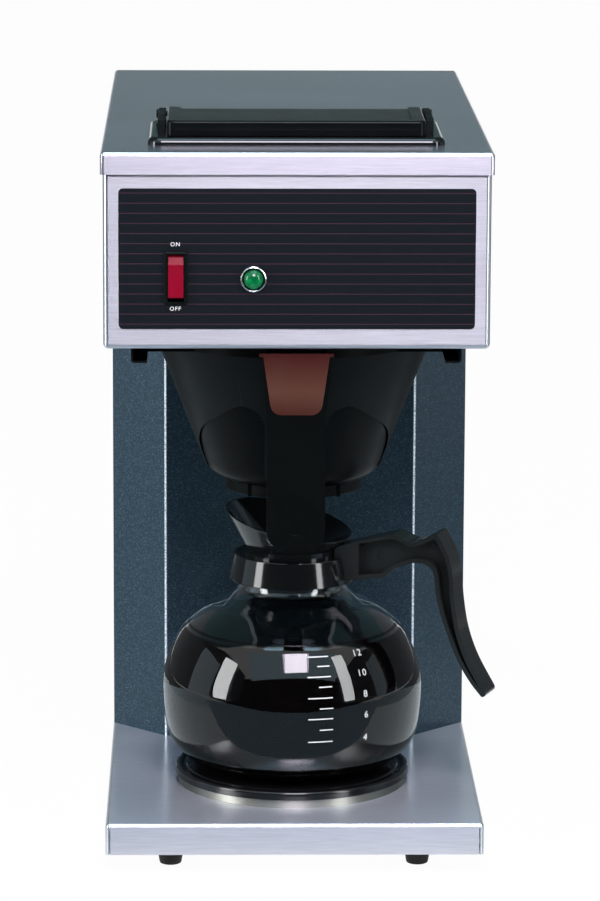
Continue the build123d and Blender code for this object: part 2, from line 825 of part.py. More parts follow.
lens_seat_y = -label_thickness - bezel_proud + lens_seat
lens_rim_y = -label_thickness - bezel_proud - 0.2
with BuildPart() as lamp_lens:
    with BuildSketch(lamp_section):
        with BuildLine():
            Polyline(
                (0, -lens_proud),
                (2.0, -lens_proud),
                (4.4, -lens_proud + 1.3),
                (lens_radius, lens_rim_y),
                (lens_radius, lens_seat_y),
                (stem_radius, lens_seat_y),
                (stem_radius, lens_seat_y + 4),
                (0, lens_seat_y + 4),
                close=True,
            )
        make_face()
    revolve(axis=lamp_axis)
lamp_lens.part.label = "lamp_lens"
export_step(lamp_lens.part, "parts/lamp_lens.step")

with BuildPart() as lamp_bulb:
    with BuildSketch(front.offset(-lens_seat_y - 4.3)):
        with Locations((lamp_x, lamp_z)):
            Circle(stem_radius - 0.2)
    extrude(amount=-(lamp_depth - lens_seat_y - 4.3))
    with BuildSketch(front.offset(-lamp_depth)):
        with Locations((lamp_x - 2, lamp_z), (lamp_x + 2, lamp_z)):
            Circle(0.5)
    extrude(amount=-5)
lamp_bulb.part.label = "lamp_bulb"
export_step(lamp_bulb.part, "parts/lamp_bulb.step")

# Water tank: a stainless box, filled through the cover and drained by a standpipe
fill_tube_y = 62.5
tank_clearance = 0.3
with BuildPart() as water_tank:
    box_between((-tank_half_width, tank_half_width), (tank_front, tank_back), (tank_bottom, tank_top))
    fillet(water_tank.edges().filter_by(Axis.Z), 6.0)
    fillet(water_tank.faces().sort_by(Axis.Z)[0].edges(), 3.0)
    offset(amount=-sheet, openings=water_tank.faces().sort_by(Axis.Z)[-1])
    with BuildSketch(brew_floor.offset(tank_bottom)):
        Circle(tube_radius + tank_clearance)
    extrude(amount=2 * sheet, mode=Mode.SUBTRACT)
water_tank.part.label = "water_tank"
export_step(water_tank.part, "parts/water_tank.step")

# Tank cover: a plate with holes for the fill tube and the heater's two legs
heater_x = 30.0
heater_y = 150.0
with BuildPart() as tank_cover:
    box_between(
        (-tank_half_width - 1, tank_half_width + 1),
        (tank_front - 1, tank_back + 1),
        (tank_top, tank_top + painted_sheet),
    )
    with BuildSketch(floor.offset(tank_top)):
        with Locations((0, fill_tube_y)):
            Circle(tube_radius + tank_clearance)
        with Locations((-heater_x, heater_y), (heater_x, heater_y)):
            Circle(heater_radius + tank_clearance)
    extrude(amount=painted_sheet, mode=Mode.SUBTRACT)
tank_cover.part.label = "tank_cover"
export_step(tank_cover.part, "parts/tank_cover.step")

# Tank brackets: two folded channels between the head floor and the tank
with BuildPart() as tank_brackets:
    for bracket_y in (tank_front + 14, tank_back - 14):
        box_between(
            (-tank_half_width + 8, tank_half_width - 8),
            (bracket_y - 9, bracket_y + 9),
            (floor_plate_top, tank_bottom),
        )
        box_between(
            (-tank_half_width + 8, tank_half_width - 8),
            (bracket_y - 9 + painted_sheet, bracket_y + 9 - painted_sheet),
            (floor_plate_top, tank_bottom - painted_sheet),
            mode=Mode.SUBTRACT,
        )
tank_brackets.part.label = "tank_brackets"
export_step(tank_brackets.part, "parts/tank_brackets.step")

# Tank heater: a U-shaped sheathed element hung through the tank cover
heater_low = tank_bottom + 10.0
heater_high = tank_top + 12.0
heater_path_plane = Plane(
    origin=(-frame_x, heater_y - frame_y, 0), x_dir=(1, 0, 0), z_dir=(0, -1, 0)
)
with BuildPart() as tank_heater:
    with BuildLine(heater_path_plane) as heater_path:
        Polyline(
            (-heater_x, heater_high),
            (-heater_x, heater_low),
            (heater_x, heater_low),
            (heater_x, heater_high),
        )
        fillet(heater_path.vertices().group_by(Axis.Z)[0], 12)
    with BuildSketch(floor.offset(heater_high)):
        with Locations((-heater_x, heater_y)):
            Circle(heater_radius)
    sweep()
    with BuildSketch(floor.offset(heater_high)):
        with Locations((-heater_x, heater_y), (heater_x, heater_y)):
            Circle(1.2)
    extrude(amount=7)
tank_heater.part.label = "tank_heater"
export_step(tank_heater.part, "parts/tank_heater.step")

# Thermostat: a small disc body on the tank cover
with BuildPart(floor) as thermostat:
    with Locations((58, 140, tank_top + painted_sheet)):
        Cylinder(9, 8, align=bottom_align)
    with Locations((58, 140, tank_top + painted_sheet + 8)):
        Cylinder(6, 5, align=bottom_align)
    with Locations((54, 140, tank_top + painted_sheet + 12), (62, 140, tank_top + painted_sheet + 12)):
        Box(0.8, 5, 7, align=bottom_align)
thermostat.part.label = "thermostat"
export_step(thermostat.part, "parts/thermostat.step")

# Fill tube: from the basin's drain down into the tank
with BuildPart() as fill_tube:
    with BuildSketch(floor.offset(basin_floor)):
        with Locations((0, fill_tube_y)):
            Circle(tube_radius)
            Circle(tube_bore, mode=Mode.SUBTRACT)
    extrude(amount=tank_bottom + 8 - basin_floor)
fill_tube.part.label = "fill_tube"
export_step(fill_tube.part, "parts/fill_tube.step")

# Spray head: a shallow dish under the head floor, drilled in rings
spray_bottom = floor_plate_z - spray_thickness
spray_wall = 1.0
with BuildPart() as spray_head:
    with BuildSketch(brew_floor.offset(spray_bottom)):
        Circle(spray_radius)
    extrude(amount=spray_thickness)
    fillet(spray_head.edges().group_by(Axis.Z)[0], 1.0)
    with BuildSketch(brew_floor.offset(spray_bottom + spray_wall)):
        Circle(spray_radius - spray_wall)
        Circle(tube_radius + 2.5, mode=Mode.SUBTRACT)
    extrude(amount=spray_thickness, mode=Mode.SUBTRACT)
    with BuildSketch(brew_floor.offset(spray_bottom + spray_wall)):
        Circle(tube_radius + 0.1)
    extrude(amount=spray_thickness, mode=Mode.SUBTRACT)
    with BuildSketch(brew_floor.offset(spray_bottom)):
        with PolarLocations(14, 6):
            Circle(0.9)
        with PolarLocations(23, 12):
            Circle(0.9)
    extrude(amount=2 * spray_wall, mode=Mode.SUBTRACT)
spray_head.part.label = "spray_head"
export_step(spray_head.part, "parts/spray_head.step")

# Outlet tube: the standpipe that carries hot water down into the spray head
with BuildPart() as outlet_tube:
    with BuildSketch(brew_floor.offset(spray_bottom + spray_wall + 0.2)):
        Circle(tube_radius - 0.15)
        Circle(tube_bore, mode=Mode.SUBTRACT)
    extrude(amount=tank_top - 10 - spray_bottom)
outlet_tube.part.label = "outlet_tube"
export_step(outlet_tube.part, "parts/outlet_tube.step")

# Fill basin: one moulding, a rim on the lid, a well through it and two ears for the cover's hinge
rim_nose = 3.6
well_floor = basin_floor + basin_wall
ear_outer = ear_inner + ear_thickness
ear_back = basin_back - 2.0
with BuildPart() as fill_basin:
    with BuildSketch(floor.offset(lid_top)):
        with Locations((0, (basin_front + basin_back) / 2)):
            RectangleRounded(2 * basin_half_width, basin_back - basin_front, basin_corner)
    extrude(amount=basin_rim_height)
    fillet(fill_basin.faces().sort_by(Axis.Z)[-1].edges(), rim_nose)
    with BuildSketch(floor.offset(basin_floor)):
        with Locations((0, (well_front + well_back) / 2)):
            RectangleRounded(
                2 * (well_half_width + basin_wall), well_back - well_front + 2 * basin_wall, 6.0
            )
    extrude(amount=lid_top + 1 - basin_floor)
    with BuildSketch(floor.offset(well_floor)):
        with Locations((0, (well_front + well_back) / 2)):
            RectangleRounded(2 * well_half_width, well_back - well_front, 4.0)
    extrude(amount=basin_top + 1 - well_floor, mode=Mode.SUBTRACT)
    with BuildSketch(floor.offset(basin_floor)):
        with Locations((0, fill_tube_y)):
            Circle(tube_bore)
    extrude(amount=2 * basin_wall, mode=Mode.SUBTRACT)
    for ear_x in (-ear_outer, ear_inner):
        with BuildSketch(side.offset(ear_x)):
            with BuildLine():
                Polyline(
                    (ear_front, basin_top - 1),
                    (ear_front + 6, basin_top + ear_height),
                    (ear_back - 4, basin_top + ear_height),
                    (ear_back, basin_top + ear_height - 4),
                    (ear_back, basin_top - 1),
                    close=True,
                )
            make_face()
            with Locations((hinge_y, hinge_z)):
                Circle(hinge_pin_radius + pin_gap, mode=Mode.SUBTRACT)
        extrude(amount=ear_thickness)
fill_basin.part.label = "fill_basin"
export_step(fill_basin.part, "parts/fill_basin.step")

# Cover pins: two headed pins through the ears into the cover's knuckles
knuckle_inner = cover_half_width - 8.0
with BuildPart() as cover_pins:
    for pin_side in (-1, 1):
        pin_plane = Plane(
            origin=(pin_side * (knuckle_inner + 0.5) - frame_x, hinge_y - frame_y, hinge_z),
            x_dir=(0, 1, 0),
            z_dir=(pin_side, 0, 0),
        )
        with BuildSketch(pin_plane):
            Circle(hinge_pin_radius)
        extrude(amount=ear_outer - knuckle_inner - 0.3)
        with BuildSketch(pin_plane.offset(ear_outer - knuckle_inner - 0.3)):
            Circle(hinge_pin_radius + 1.0)
        extrude(amount=1.0)
cover_pins.part.label = "cover_pins"
export_step(cover_pins.part, "parts/cover_pins.step")

# Fill cover: a hollow flap over the well, its top dished between raised side borders
cover_bottom = basin_top + cover_gap
cover_dish = 1.2
cover_nose = 3.4
with BuildPart() as fill_cover:
    box_between((-cover_half_width, cover_half_width), (cover_front, cover_back), (cover_bottom, cover_top))
    fillet(fill_cover.edges().filter_by(Axis.Z).group_by(Axis.Y)[0], 4.0)
    fillet(fill_cover.edges().group_by(Axis.Z)[-1].sort_by(Axis.Y)[:-1], cover_nose)
    box_between(
        (-cover_half_width + cover_wall, cover_half_width - cover_wall),
        (cover_front + cover_wall, cover_back - cover_wall),
        (cover_bottom - 1, cover_top - cover_dish - cover_wall),
        mode=Mode.SUBTRACT,
    )
    box_between(
        (-cover_half_width + cover_border, cover_half_width - cover_border),
        (cover_front + 9, cover_back + 1),
        (cover_top - cover_dish, cover_top + 1),
        mode=Mode.SUBTRACT,
    )
    for knuckle_x in (-cover_half_width, knuckle_inner):
        with BuildSketch(side.offset(knuckle_x)):
            with Locations((hinge_y, hinge_z)):
                Circle(hinge_radius)
            with Locations(((hinge_y + cover_back) / 2 - cover_wall / 2, hinge_z)):
                Rectangle(hinge_y - cover_back + cover_wall, 2 * hinge_radius)
            with Locations((hinge_y, hinge_z)):
                Circle(hinge_pin_radius + pin_gap, mode=Mode.SUBTRACT)
        extrude(amount=cover_half_width - knuckle_inner)
fill_cover.part.label = "fill_cover"
export_step(fill_cover.part, "parts/fill_cover.step")


def skirt_radius(height):
    """The skirt's outer radius at a height."""
    share = (height - skirt_bottom) / (cone_top - skirt_bottom)
    return skirt_bottom_radius + share * (skirt_top_radius - skirt_bottom_radius)


# Brew bowl: the funnel that holds the filter, its flange sliding in the rails
flange_bottom = cone_top - flange_thickness
flange_half_width = rail_outer - rail_sheet - flange_gap
bowl_skirt_gap = 1.44
bowl_top_radius = skirt_radius(flange_bottom) - skirt_wall - bowl_skirt_gap
bowl_mouth_radius = bowl_top_radius - bowl_wall + 1.6
bowl_floor = bowl_bottom + bowl_wall
with BuildPart() as brew_bowl:
    with BuildSketch(brew_floor.offset(flange_bottom)):
        Circle(skirt_top_radius)
        Rectangle(2 * flange_half_width, 2 * flange_reach)
    extrude(amount=flange_thickness)
    with BuildSketch(brew_section):
        with BuildLine():
            Polyline(
                (0, bowl_bottom - 2),
                (outlet_radius, bowl_bottom - 2),
                (bowl_bottom_radius - bowl_wall, bowl_bottom),
                (bowl_bottom_radius - bowl_wall, foot_ring_bottom),
                (bowl_bottom_radius, foot_ring_bottom),
                (bowl_bottom_radius, bowl_bottom),
                (bowl_top_radius, flange_bottom),
                (bowl_top_radius, flange_bottom + 1),
                (0, flange_bottom + 1),
                close=True,
            )
        make_face()
    revolve(axis=brew_axis)
    with BuildSketch(brew_section):
        with BuildLine():
            Polyline(
                (0, bowl_bottom),
                (bowl_bottom_radius - bowl_wall - 1, bowl_floor + 1),
                (bowl_mouth_radius, cone_top),
                (bowl_mouth_radius, cone_top + 1),
                (0, cone_top + 1),
                close=True,
            )
        make_face()
    revolve(axis=brew_axis, mode=Mode.SUBTRACT)
    with BuildSketch(brew_floor.offset(outlet_bottom)):
        Circle(outlet_radius)
    extrude(amount=bowl_bottom - outlet_bottom)
    fillet(brew_bowl.edges().group_by(Axis.Z)[0], 1.5)
    with BuildSketch(brew_floor.offset(outlet_bottom)):
        Circle(outlet_bore)
    extrude(amount=bowl_floor + 2 - outlet_bottom, mode=Mode.SUBTRACT)
brew_bowl.part.label = "brew_bowl"
export_step(brew_bowl.part, "parts/brew_bowl.step")


# Cone skirt: the conical shell around the bowl, with an arched window on each side of the strap
window_inner = 17.0
window_outer_low = 46.0
with BuildPart() as cone_skirt:
    with BuildSketch(brew_section):
        with BuildLine():
            Polyline(
                (skirt_radius(skirt_bottom), skirt_bottom),
                (skirt_radius(flange_bottom), flange_bottom),
                (skirt_radius(flange_bottom) - skirt_wall, flange_bottom),
                (skirt_radius(skirt_bottom) - skirt_wall, skirt_bottom),
                close=True,
            )
        make_face()
    revolve(axis=brew_axis)
    with BuildSketch(brew_section):
        with BuildLine():
            Polyline(
                (window_outer_low, skirt_bottom - 5),
                (window_inner, skirt_bottom - 5),
                (window_inner, skirt_bottom + 32),
            )
            Spline(
                (window_inner, skirt_bottom + 32),
                (32, skirt_bottom + 45),
                (47, skirt_bottom + 40),
                (52, skirt_bottom + 27),
                (window_outer_low, skirt_bottom - 5),
                tangents=((0.3, 1), (-0.25, -1)),
            )
        make_face()
        mirror(about=Plane.YZ)
    extrude(amount=skirt_top_radius, mode=Mode.SUBTRACT)
cone_skirt.part.label = "cone_skirt"
export_step(cone_skirt.part, "parts/cone_skirt.step")

# Cone handle: a strap down the skirt's front that ends in a thumb paddle
strap_section = front.offset(-strap_y)
strap_narrow_z = tab_bottom - 1.4
seat_gap = 0.2
tab_proud = 0.3
tab_seat_gap = 0.2
flange_plate_z = skirt_bottom + 20
with BuildPart() as cone_handle:
    with BuildSketch(strap_section) as strap_outline:
        with BuildLine():
            Polyline(
                (-strap_half_width_top, cone_top),
                (-strap_half_width, strap_narrow_z),
                (-strap_half_width, paddle_bottom),
                (strap_half_width, paddle_bottom),
                (strap_half_width, strap_narrow_z),
                (strap_half_width_top, cone_top),
                close=True,
            )
        make_face()
        fillet(strap_outline.vertices().group_by(Axis.Z)[0], paddle_corner)
    extrude(amount=-strap_plate)
    with BuildSketch(strap_section) as paddle_outline:
        with Locations((0, (paddle_bottom + bowl_bottom + 10) / 2)):
            Rectangle(2 * strap_half_width, bowl_bottom + 10 - paddle_bottom)
        fillet(paddle_outline.vertices().group_by(Axis.Z)[0], paddle_corner)
    extrude(amount=-paddle_depth)
    for flange_x_start in (-strap_half_width, strap_half_width - strap_side):
        with BuildSketch(side.offset(flange_x_start)):
            with BuildLine():
                Polyline(
                    (strap_y, bowl_bottom + 8),
                    (strap_y + paddle_depth, bowl_bottom + 8),
                    (strap_y + paddle_depth + 4, flange_plate_z - 8),
                    (brew_y - 40, flange_plate_z + 2),
                    (brew_y - 40, cone_top),
                    (strap_y, cone_top),
                    close=True,
                )
            make_face()
        extrude(amount=strap_side)
    with BuildSketch(brew_section):
        with BuildLine():
            Polyline(
                (0, skirt_bottom - 10),
                (skirt_radius(skirt_bottom - 10) + seat_gap, skirt_bottom - 10),
                (skirt_radius(flange_bottom) + seat_gap, flange_bottom - 0.1),
                (skirt_top_radius + seat_gap, flange_bottom - 0.1),
                (skirt_top_radius + seat_gap, cone_top + 1),
                (0, cone_top + 1),
                close=True,
            )
        make_face()
    revolve(axis=brew_axis, mode=Mode.SUBTRACT)
    with BuildSketch(strap_section):
        with Locations((0, recess_z)):
            Circle(recess_radius)
    extrude(amount=-recess_depth, mode=Mode.SUBTRACT)
    with BuildSketch(strap_section) as tab_recess:
        with BuildLine():
            Polyline(
                (-tab_half_width_top - tab_seat_gap, cone_top + 1),
                (-tab_half_width - tab_seat_gap, tab_bottom - tab_seat_gap),
                (tab_half_width + tab_seat_gap, tab_bottom - tab_seat_gap),
                (tab_half_width_top + tab_seat_gap, cone_top + 1),
                close=True,
            )
        make_face()
        fillet(tab_recess.vertices().group_by(Axis.Z)[0], tab_corner)
    extrude(amount=-(tab_thickness - tab_proud + tab_seat_gap), mode=Mode.SUBTRACT)
    box_between(
        (-strap_half_width_top, strap_half_width_top),
        (strap_y - 1, strap_y + tab_thickness - tab_proud + tab_seat_gap),
        (cone_top - tab_flange_height - tab_seat_gap, cone_top + 1),
        mode=Mode.SUBTRACT,
    )
cone_handle.part.label = "cone_handle"
export_step(cone_handle.part, "parts/cone_handle.step")

# Handle insert: the coloured tab set into the strap, with a lip along its top
with BuildPart() as handle_insert:
    with BuildSketch(front.offset(tab_proud - strap_y)) as tab_outline:
        with BuildLine():
            Polyline(
                (-tab_half_width_top, cone_top),
                (-tab_half_width, tab_bottom),
                (tab_half_width, tab_bottom),
                (tab_half_width_top, cone_top),
                close=True,
            )
        make_face()
        fillet(tab_outline.vertices().group_by(Axis.Z)[0], tab_corner)
        with Locations((0, cone_top - tab_flange_height / 2)):
            Rectangle(2 * tab_flange_half, tab_flange_height)
    extrude(amount=-tab_thickness)
handle_insert.part.label = "handle_insert"
export_step(handle_insert.part, "parts/handle_insert.step")

# Filter basket: a thin steel cup that holds the paper off the bowl's wall
basket_wall = 1.0
basket_bottom = bowl_floor + 2.4
basket_low_radius = bowl_bottom_radius - 6.6
basket_top = flange_bottom - 2.0
basket_rim_width = 2.2
basket_rim_gap = 0.4
bowl_inner_low = bowl_bottom_radius - bowl_wall - 1
bowl_inner_share = (basket_top - bowl_floor - 1) / (cone_top - bowl_floor - 1)
bowl_inner_radius = bowl_inner_low + bowl_inner_share * (bowl_mouth_radius - bowl_inner_low)
basket_top_radius = bowl_inner_radius - basket_rim_gap - basket_rim_width
with BuildPart() as filter_basket:
    with BuildSketch(brew_section):
        with BuildLine():
            Polyline(
                (0, basket_bottom),
                (basket_low_radius, basket_bottom),
                (basket_top_radius, basket_top),
                (basket_top_radius + basket_rim_width, basket_top),
                (basket_top_radius + basket_rim_width, basket_top + basket_wall),
                (basket_top_radius - basket_wall, basket_top + basket_wall),
                (basket_low_radius - basket_wall, basket_bottom + basket_wall),
                (0, basket_bottom + basket_wall),
                close=True,
            )
        make_face()
    revolve(axis=brew_axis)
    with BuildSketch(brew_floor.offset(basket_bottom)):
        with PolarLocations(12, 6):
            Circle(2.2)
        with PolarLocations(24, 12):
            Circle(2.2)
    extrude(amount=2 * basket_wall, mode=Mode.SUBTRACT)
filter_basket.part.label = "filter_basket"
export_step(filter_basket.part, "parts/filter_basket.step")

# Carafe glass: a round flask with a straight neck
shoulder_z = glass_top - 28.4
glass_outer = [
    (glass_foot_radius, carafe_bottom),
    (globe_radius - 22.8, carafe_bottom + 1.8),
    (globe_radius - 10.1, carafe_bottom + 9.2),
    (globe_radius - 2.5, carafe_bottom + 22.0),
    (globe_radius, carafe_bottom + 47.0),
    (globe_radius - 3.1, shoulder_z - 32.9),
    (globe_radius - 11.5, shoulder_z - 16.6),
    (globe_radius - 23.3, shoulder_z - 4.7),
    (neck_radius + 10.6, shoulder_z),
]
glass_inner = [
    (glass_foot_radius - 1.0, carafe_bottom + glass_wall),
    (globe_radius - 21.4 - glass_wall, carafe_bottom + glass_wall + 1.8),
    (globe_radius - 9.4 - glass_wall, carafe_bottom + glass_wall + 8.7),
    (globe_radius - 2.4 - glass_wall, carafe_bottom + glass_wall + 20.7),
    (globe_radius - glass_wall, carafe_bottom + 46.8),
    (globe_radius - 3.0 - glass_wall, shoulder_z - glass_wall - 31.6),
    (globe_radius - 11.0 - glass_wall, shoulder_z - glass_wall - 16.0),
    (globe_radius - 22.2 - glass_wall, shoulder_z - glass_wall - 4.6),
    (neck_radius + 9.8, shoulder_z - glass_wall),
]
neck_start = glass_top - 14.0
with BuildPart() as carafe_glass:
    with BuildSketch(brew_section):
        with BuildLine():
            Line((0, carafe_bottom), glass_outer[0])
            Spline(*glass_outer, tangents=((1, 0), (-1, 0.3)))
            Spline(
                glass_outer[-1],
                (neck_radius + 2.6, shoulder_z + 4.8),
                (neck_radius, neck_start),
                tangents=((-1, 0.3), (0, 1)),
            )
            Polyline(
                (neck_radius, neck_start),
                (neck_radius, glass_top),
                (neck_radius - glass_wall, glass_top),
                (neck_radius - glass_wall, neck_start),
            )
            Spline(
                (neck_radius - glass_wall, neck_start),
                (neck_radius + 0.9, shoulder_z + 3.0),
                glass_inner[-1],
                tangents=((0, -1), (1, -0.3)),
            )
            Spline(*glass_inner[::-1], tangents=((1, -0.3), (-1, 0)))
            Polyline(glass_inner[0], (0, carafe_bottom + glass_wall), (0, carafe_bottom))
        make_face()
    revolve(axis=brew_axis)
carafe_glass.part.label = "carafe_glass"
export_step(carafe_glass.part, "parts/carafe_glass.step")

# Coffee: the brew inside the glass, up to its level
coffee_gap = 0.6
coffee_bottom = carafe_bottom + glass_wall + coffee_gap
with BuildPart() as coffee:
    with BuildSketch(brew_section):
        with BuildLine():
            Line((0, coffee_bottom), (glass_foot_radius - 1.0, coffee_bottom))
            Spline(
                (glass_foot_radius - 1.0, coffee_bottom),
                *[(radius - coffee_gap, height + 0.5 * coffee_gap) for radius, height in glass_inner[1:]],
                tangents=((1, 0), (-1, 0.3)),
            )
            Polyline(
                (glass_inner[-1][0] - coffee_gap, glass_inner[-1][1] + 0.5 * coffee_gap),
                (0, glass_inner[-1][1] + 0.5 * coffee_gap),
                (0, coffee_bottom),
            )
        make_face()
    revolve(axis=brew_axis)
    with BuildSketch(brew_floor.offset(coffee_level)):
        Circle(2 * globe_radius)
    extrude(amount=globe_radius, mode=Mode.SUBTRACT)
coffee.part.label = "coffee"
export_step(coffee.part, "parts/coffee.step")

# Collar band: the plastic collar round the neck, drilled and spot-faced for the handle's screw
collar_inner = neck_radius + 0.4
handle_screw_z = collar_top - 7.1
handle_screw_head = 3.0
screw_plane = Plane(
    origin=(-frame_x, brew_y - frame_y, handle_screw_z), x_dir=(0, 0, 1), z_dir=handle_direction
)
with BuildPart() as collar_band:
    with BuildSketch(brew_section):
        with BuildLine():
            Polyline(
                (collar_bottom_radius, collar_bottom),
                (collar_top_radius, collar_top),
                (collar_inner, collar_top),
                (collar_inner, collar_top - 4),
                (collar_bottom_radius - collar_wall, collar_bottom),
                close=True,
            )
        make_face()
    revolve(axis=brew_axis)
    with BuildSketch(screw_plane.offset(neck_radius - 1)):
        Circle(handle_screw_head + 0.2)
    extrude(amount=3.6, mode=Mode.SUBTRACT)
    with BuildSketch(screw_plane.offset(neck_radius)):
        Circle(screw_shank_radius)
    extrude(amount=10, mode=Mode.SUBTRACT)
collar_band.part.label = "collar_band"
export_step(collar_band.part, "parts/collar_band.step")

# Pour funnel: a plug in the neck, a groove above the collar and a flared, slanted rim
plug_radius = neck_radius - glass_wall - 0.3
plug_bottom = neck_start
rim_origin = (
    -frame_x - rim_shift * cos(radians(handle_angle)),
    brew_y - frame_y + rim_shift * sin(radians(handle_angle)),
    rim_height + rim_shift * rim_slope,
)
rim_normal = (
    rim_slope * cos(radians(handle_angle)),
    -rim_slope * sin(radians(handle_angle)),
    1,
)
rim_direction = (cos(radians(handle_angle)), -sin(radians(handle_angle)), -rim_slope)
rim_plane = Plane(origin=rim_origin, x_dir=rim_direction, z_dir=rim_normal)
funnel_floor = Plane(origin=brew_origin, x_dir=handle_direction)
with BuildPart() as pour_funnel:
    with BuildSketch(funnel_floor.offset(plug_bottom)):
        Circle(plug_radius)
    extrude(amount=glass_top + 0.3 - plug_bottom)
    with BuildSketch(funnel_floor.offset(glass_top + 0.3)):
        Circle(neck_radius)
    extrude(amount=collar_top - glass_top - 0.3)
    with BuildSketch(funnel_floor.offset(collar_top)):
        Circle(groove_radius)
    extrude(amount=groove_top - collar_top)
    with BuildSketch(funnel_floor.offset(groove_top)):
        Circle(groove_radius)
    with BuildSketch(rim_plane):
        Circle(rim_radius)
    loft()
    fillet(pour_funnel.edges().group_by(Axis.Z)[-1], 0.5)
    with BuildSketch(funnel_floor.offset(groove_top)):
        Circle(funnel_throat)
    with BuildSketch(rim_plane.offset(0.05)):
        Circle(rim_radius - funnel_wall)
    loft(mode=Mode.SUBTRACT)
    with BuildSketch(funnel_floor.offset(groove_top + 0.5)):
        Circle(funnel_bore)
    extrude(amount=plug_bottom - groove_top - 1, mode=Mode.SUBTRACT)
pour_funnel.part.label = "pour_funnel"
export_step(pour_funnel.part, "parts/pour_funnel.step")

# Carafe handle: an I-section grip with a thumb dip, its solid root screwed to the collar
handle_root = 48.0
root_gap = 0.3
with BuildPart() as carafe_handle:
    with BuildSketch(handle_plane.offset(-handle_width / 2)) as handle_outline:
        with BuildLine():
            Polyline((30.0, 153.6), (30.0, 172.7), (64.1, 182.5))
            Spline((64.1, 182.5), (70.0, 180.2), (76.0, 178.3), (82.5, 181.0), (88.7, 184.7), (90.6, 184.6))
            Spline(
                (90.6, 184.6),
                (93.8, 179.8),
                (98.2, 171.0),
                (100.6, 160.0),
                (101.7, 146.0),
                (104.8, 128.4),
                (110.8, 112.4),
                (121.2, 94.6),
            )
            Line((121.2, 94.6), (118.4, 91.8))
            Spline(
                (118.4, 91.8),
                (112.4, 98.6),
                (107.0, 106.4),
                (101.8, 116.0),
                (94.4, 134.7),
                (90.6, 149.0),
                (89.7, 161.4),
            )
            Polyline(
                (89.7, 161.4),
                (83.9, 166.6),
                (76.6, 166.7),
                (66.5, 163.1),
                (58.5, 156.6),
                (40.2, 153.6),
                (30.0, 153.6),
            )
        make_face()
    extrude(amount=handle_width)
    for pocket_start, pocket_reach in ((handle_web / 2, handle_width), (-handle_web / 2, -handle_width)):
        with BuildSketch(handle_plane.offset(pocket_start)):
            with BuildLine():
                Polyline((handle_root, 157.4), (handle_root, 175.4), (64.4, 180.0))
                Spline((64.4, 180.0), (70.0, 177.8), (76.0, 175.9), (82.5, 178.4), (89.4, 181.9))
                Spline(
                    (89.4, 181.9),
                    (91.6, 178.7),
                    (95.8, 170.3),
                    (98.2, 159.7),
                    (99.3, 145.8),
                    (102.5, 127.7),
                    (108.6, 111.5),
                    (117.6, 96.2),
                )
                Spline(
                    (117.6, 96.2),
                    (114.2, 100.1),
                    (109.1, 107.5),
                    (104.0, 117.1),
                    (96.7, 135.4),
                    (93.0, 149.4),
                    (92.1, 162.3),
                )
                Polyline(
                    (92.1, 162.3),
                    (84.8, 169.0),
                    (76.2, 169.1),
                    (65.3, 165.3),
                    (57.5, 159.0),
                    (handle_root, 157.4),
                )
            make_face()
        extrude(amount=pocket_reach, mode=Mode.SUBTRACT)
    with BuildSketch(brew_section):
        with BuildLine():
            Polyline(
                (0, collar_bottom - 1),
                (collar_bottom_radius + root_gap, collar_bottom),
                (collar_top_radius + root_gap, collar_top),
                (groove_radius + root_gap, collar_top),
                (groove_radius + root_gap, groove_top),
                (rim_radius, rim_height - 6),
                (rim_radius, rim_height + 9),
                (0, rim_height + 9),
                close=True,
            )
        make_face()
    revolve(axis=brew_axis, mode=Mode.SUBTRACT)
    with BuildSketch(screw_plane.offset(neck_radius)):
        Circle(screw_shank_radius)
    extrude(amount=handle_root - 3 - neck_radius, mode=Mode.SUBTRACT)
carafe_handle.part.label = "carafe_handle"
export_step(carafe_handle.part, "parts/carafe_handle.step")

# Handle screw: from inside the collar out into the handle's root
with BuildPart() as handle_screw:
    with BuildSketch(screw_plane.offset(neck_radius + 0.5)):
        Circle(handle_screw_head)
    extrude(amount=1.6)
    with BuildSketch(screw_plane.offset(neck_radius + 0.5)):
        Circle(screw_shank_radius - 0.1)
    extrude(amount=handle_root - 5 - neck_radius)
handle_screw.part.label = "handle_screw"
export_step(handle_screw.part, "parts/handle_screw.step")
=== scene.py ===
# %% [markdown]
# # A pour-over coffee brewer
# The brewer is a stainless head on a painted column and a stainless base, with a black brew cone, a warmer
# and a glass carafe of coffee. Its bodies come in as a fixed frame in metres. Each visible piece is then
# modelled at its real size over that frame, and each finish is built from nodes.

from math import atan2, cos, pi, radians, sin

import bmesh
import bpy
from mathutils import Matrix, Vector


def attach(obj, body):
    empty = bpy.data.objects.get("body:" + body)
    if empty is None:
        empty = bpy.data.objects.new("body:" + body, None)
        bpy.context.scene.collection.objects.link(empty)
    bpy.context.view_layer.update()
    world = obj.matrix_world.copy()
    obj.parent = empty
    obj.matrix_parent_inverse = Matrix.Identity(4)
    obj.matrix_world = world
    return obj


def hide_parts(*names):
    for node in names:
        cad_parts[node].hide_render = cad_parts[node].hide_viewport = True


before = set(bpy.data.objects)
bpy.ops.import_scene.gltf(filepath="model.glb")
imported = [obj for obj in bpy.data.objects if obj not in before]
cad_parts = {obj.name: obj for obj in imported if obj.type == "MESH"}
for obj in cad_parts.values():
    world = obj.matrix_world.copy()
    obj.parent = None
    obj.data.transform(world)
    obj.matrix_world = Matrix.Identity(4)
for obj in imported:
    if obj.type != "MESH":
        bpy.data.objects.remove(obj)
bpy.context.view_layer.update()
print("the frame holds", len(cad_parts), "nodes")

# %% [markdown]
# ## Where things are
# A maker measures this brewer from its centre line, its front panel and the counter, in millimetres. The
# frame's origin is the bottom centre of the whole box instead, so one small function turns the first into
# the second. The carafe is turned a little to the right, so its grip is drawn straight along X and turned
# afterwards.

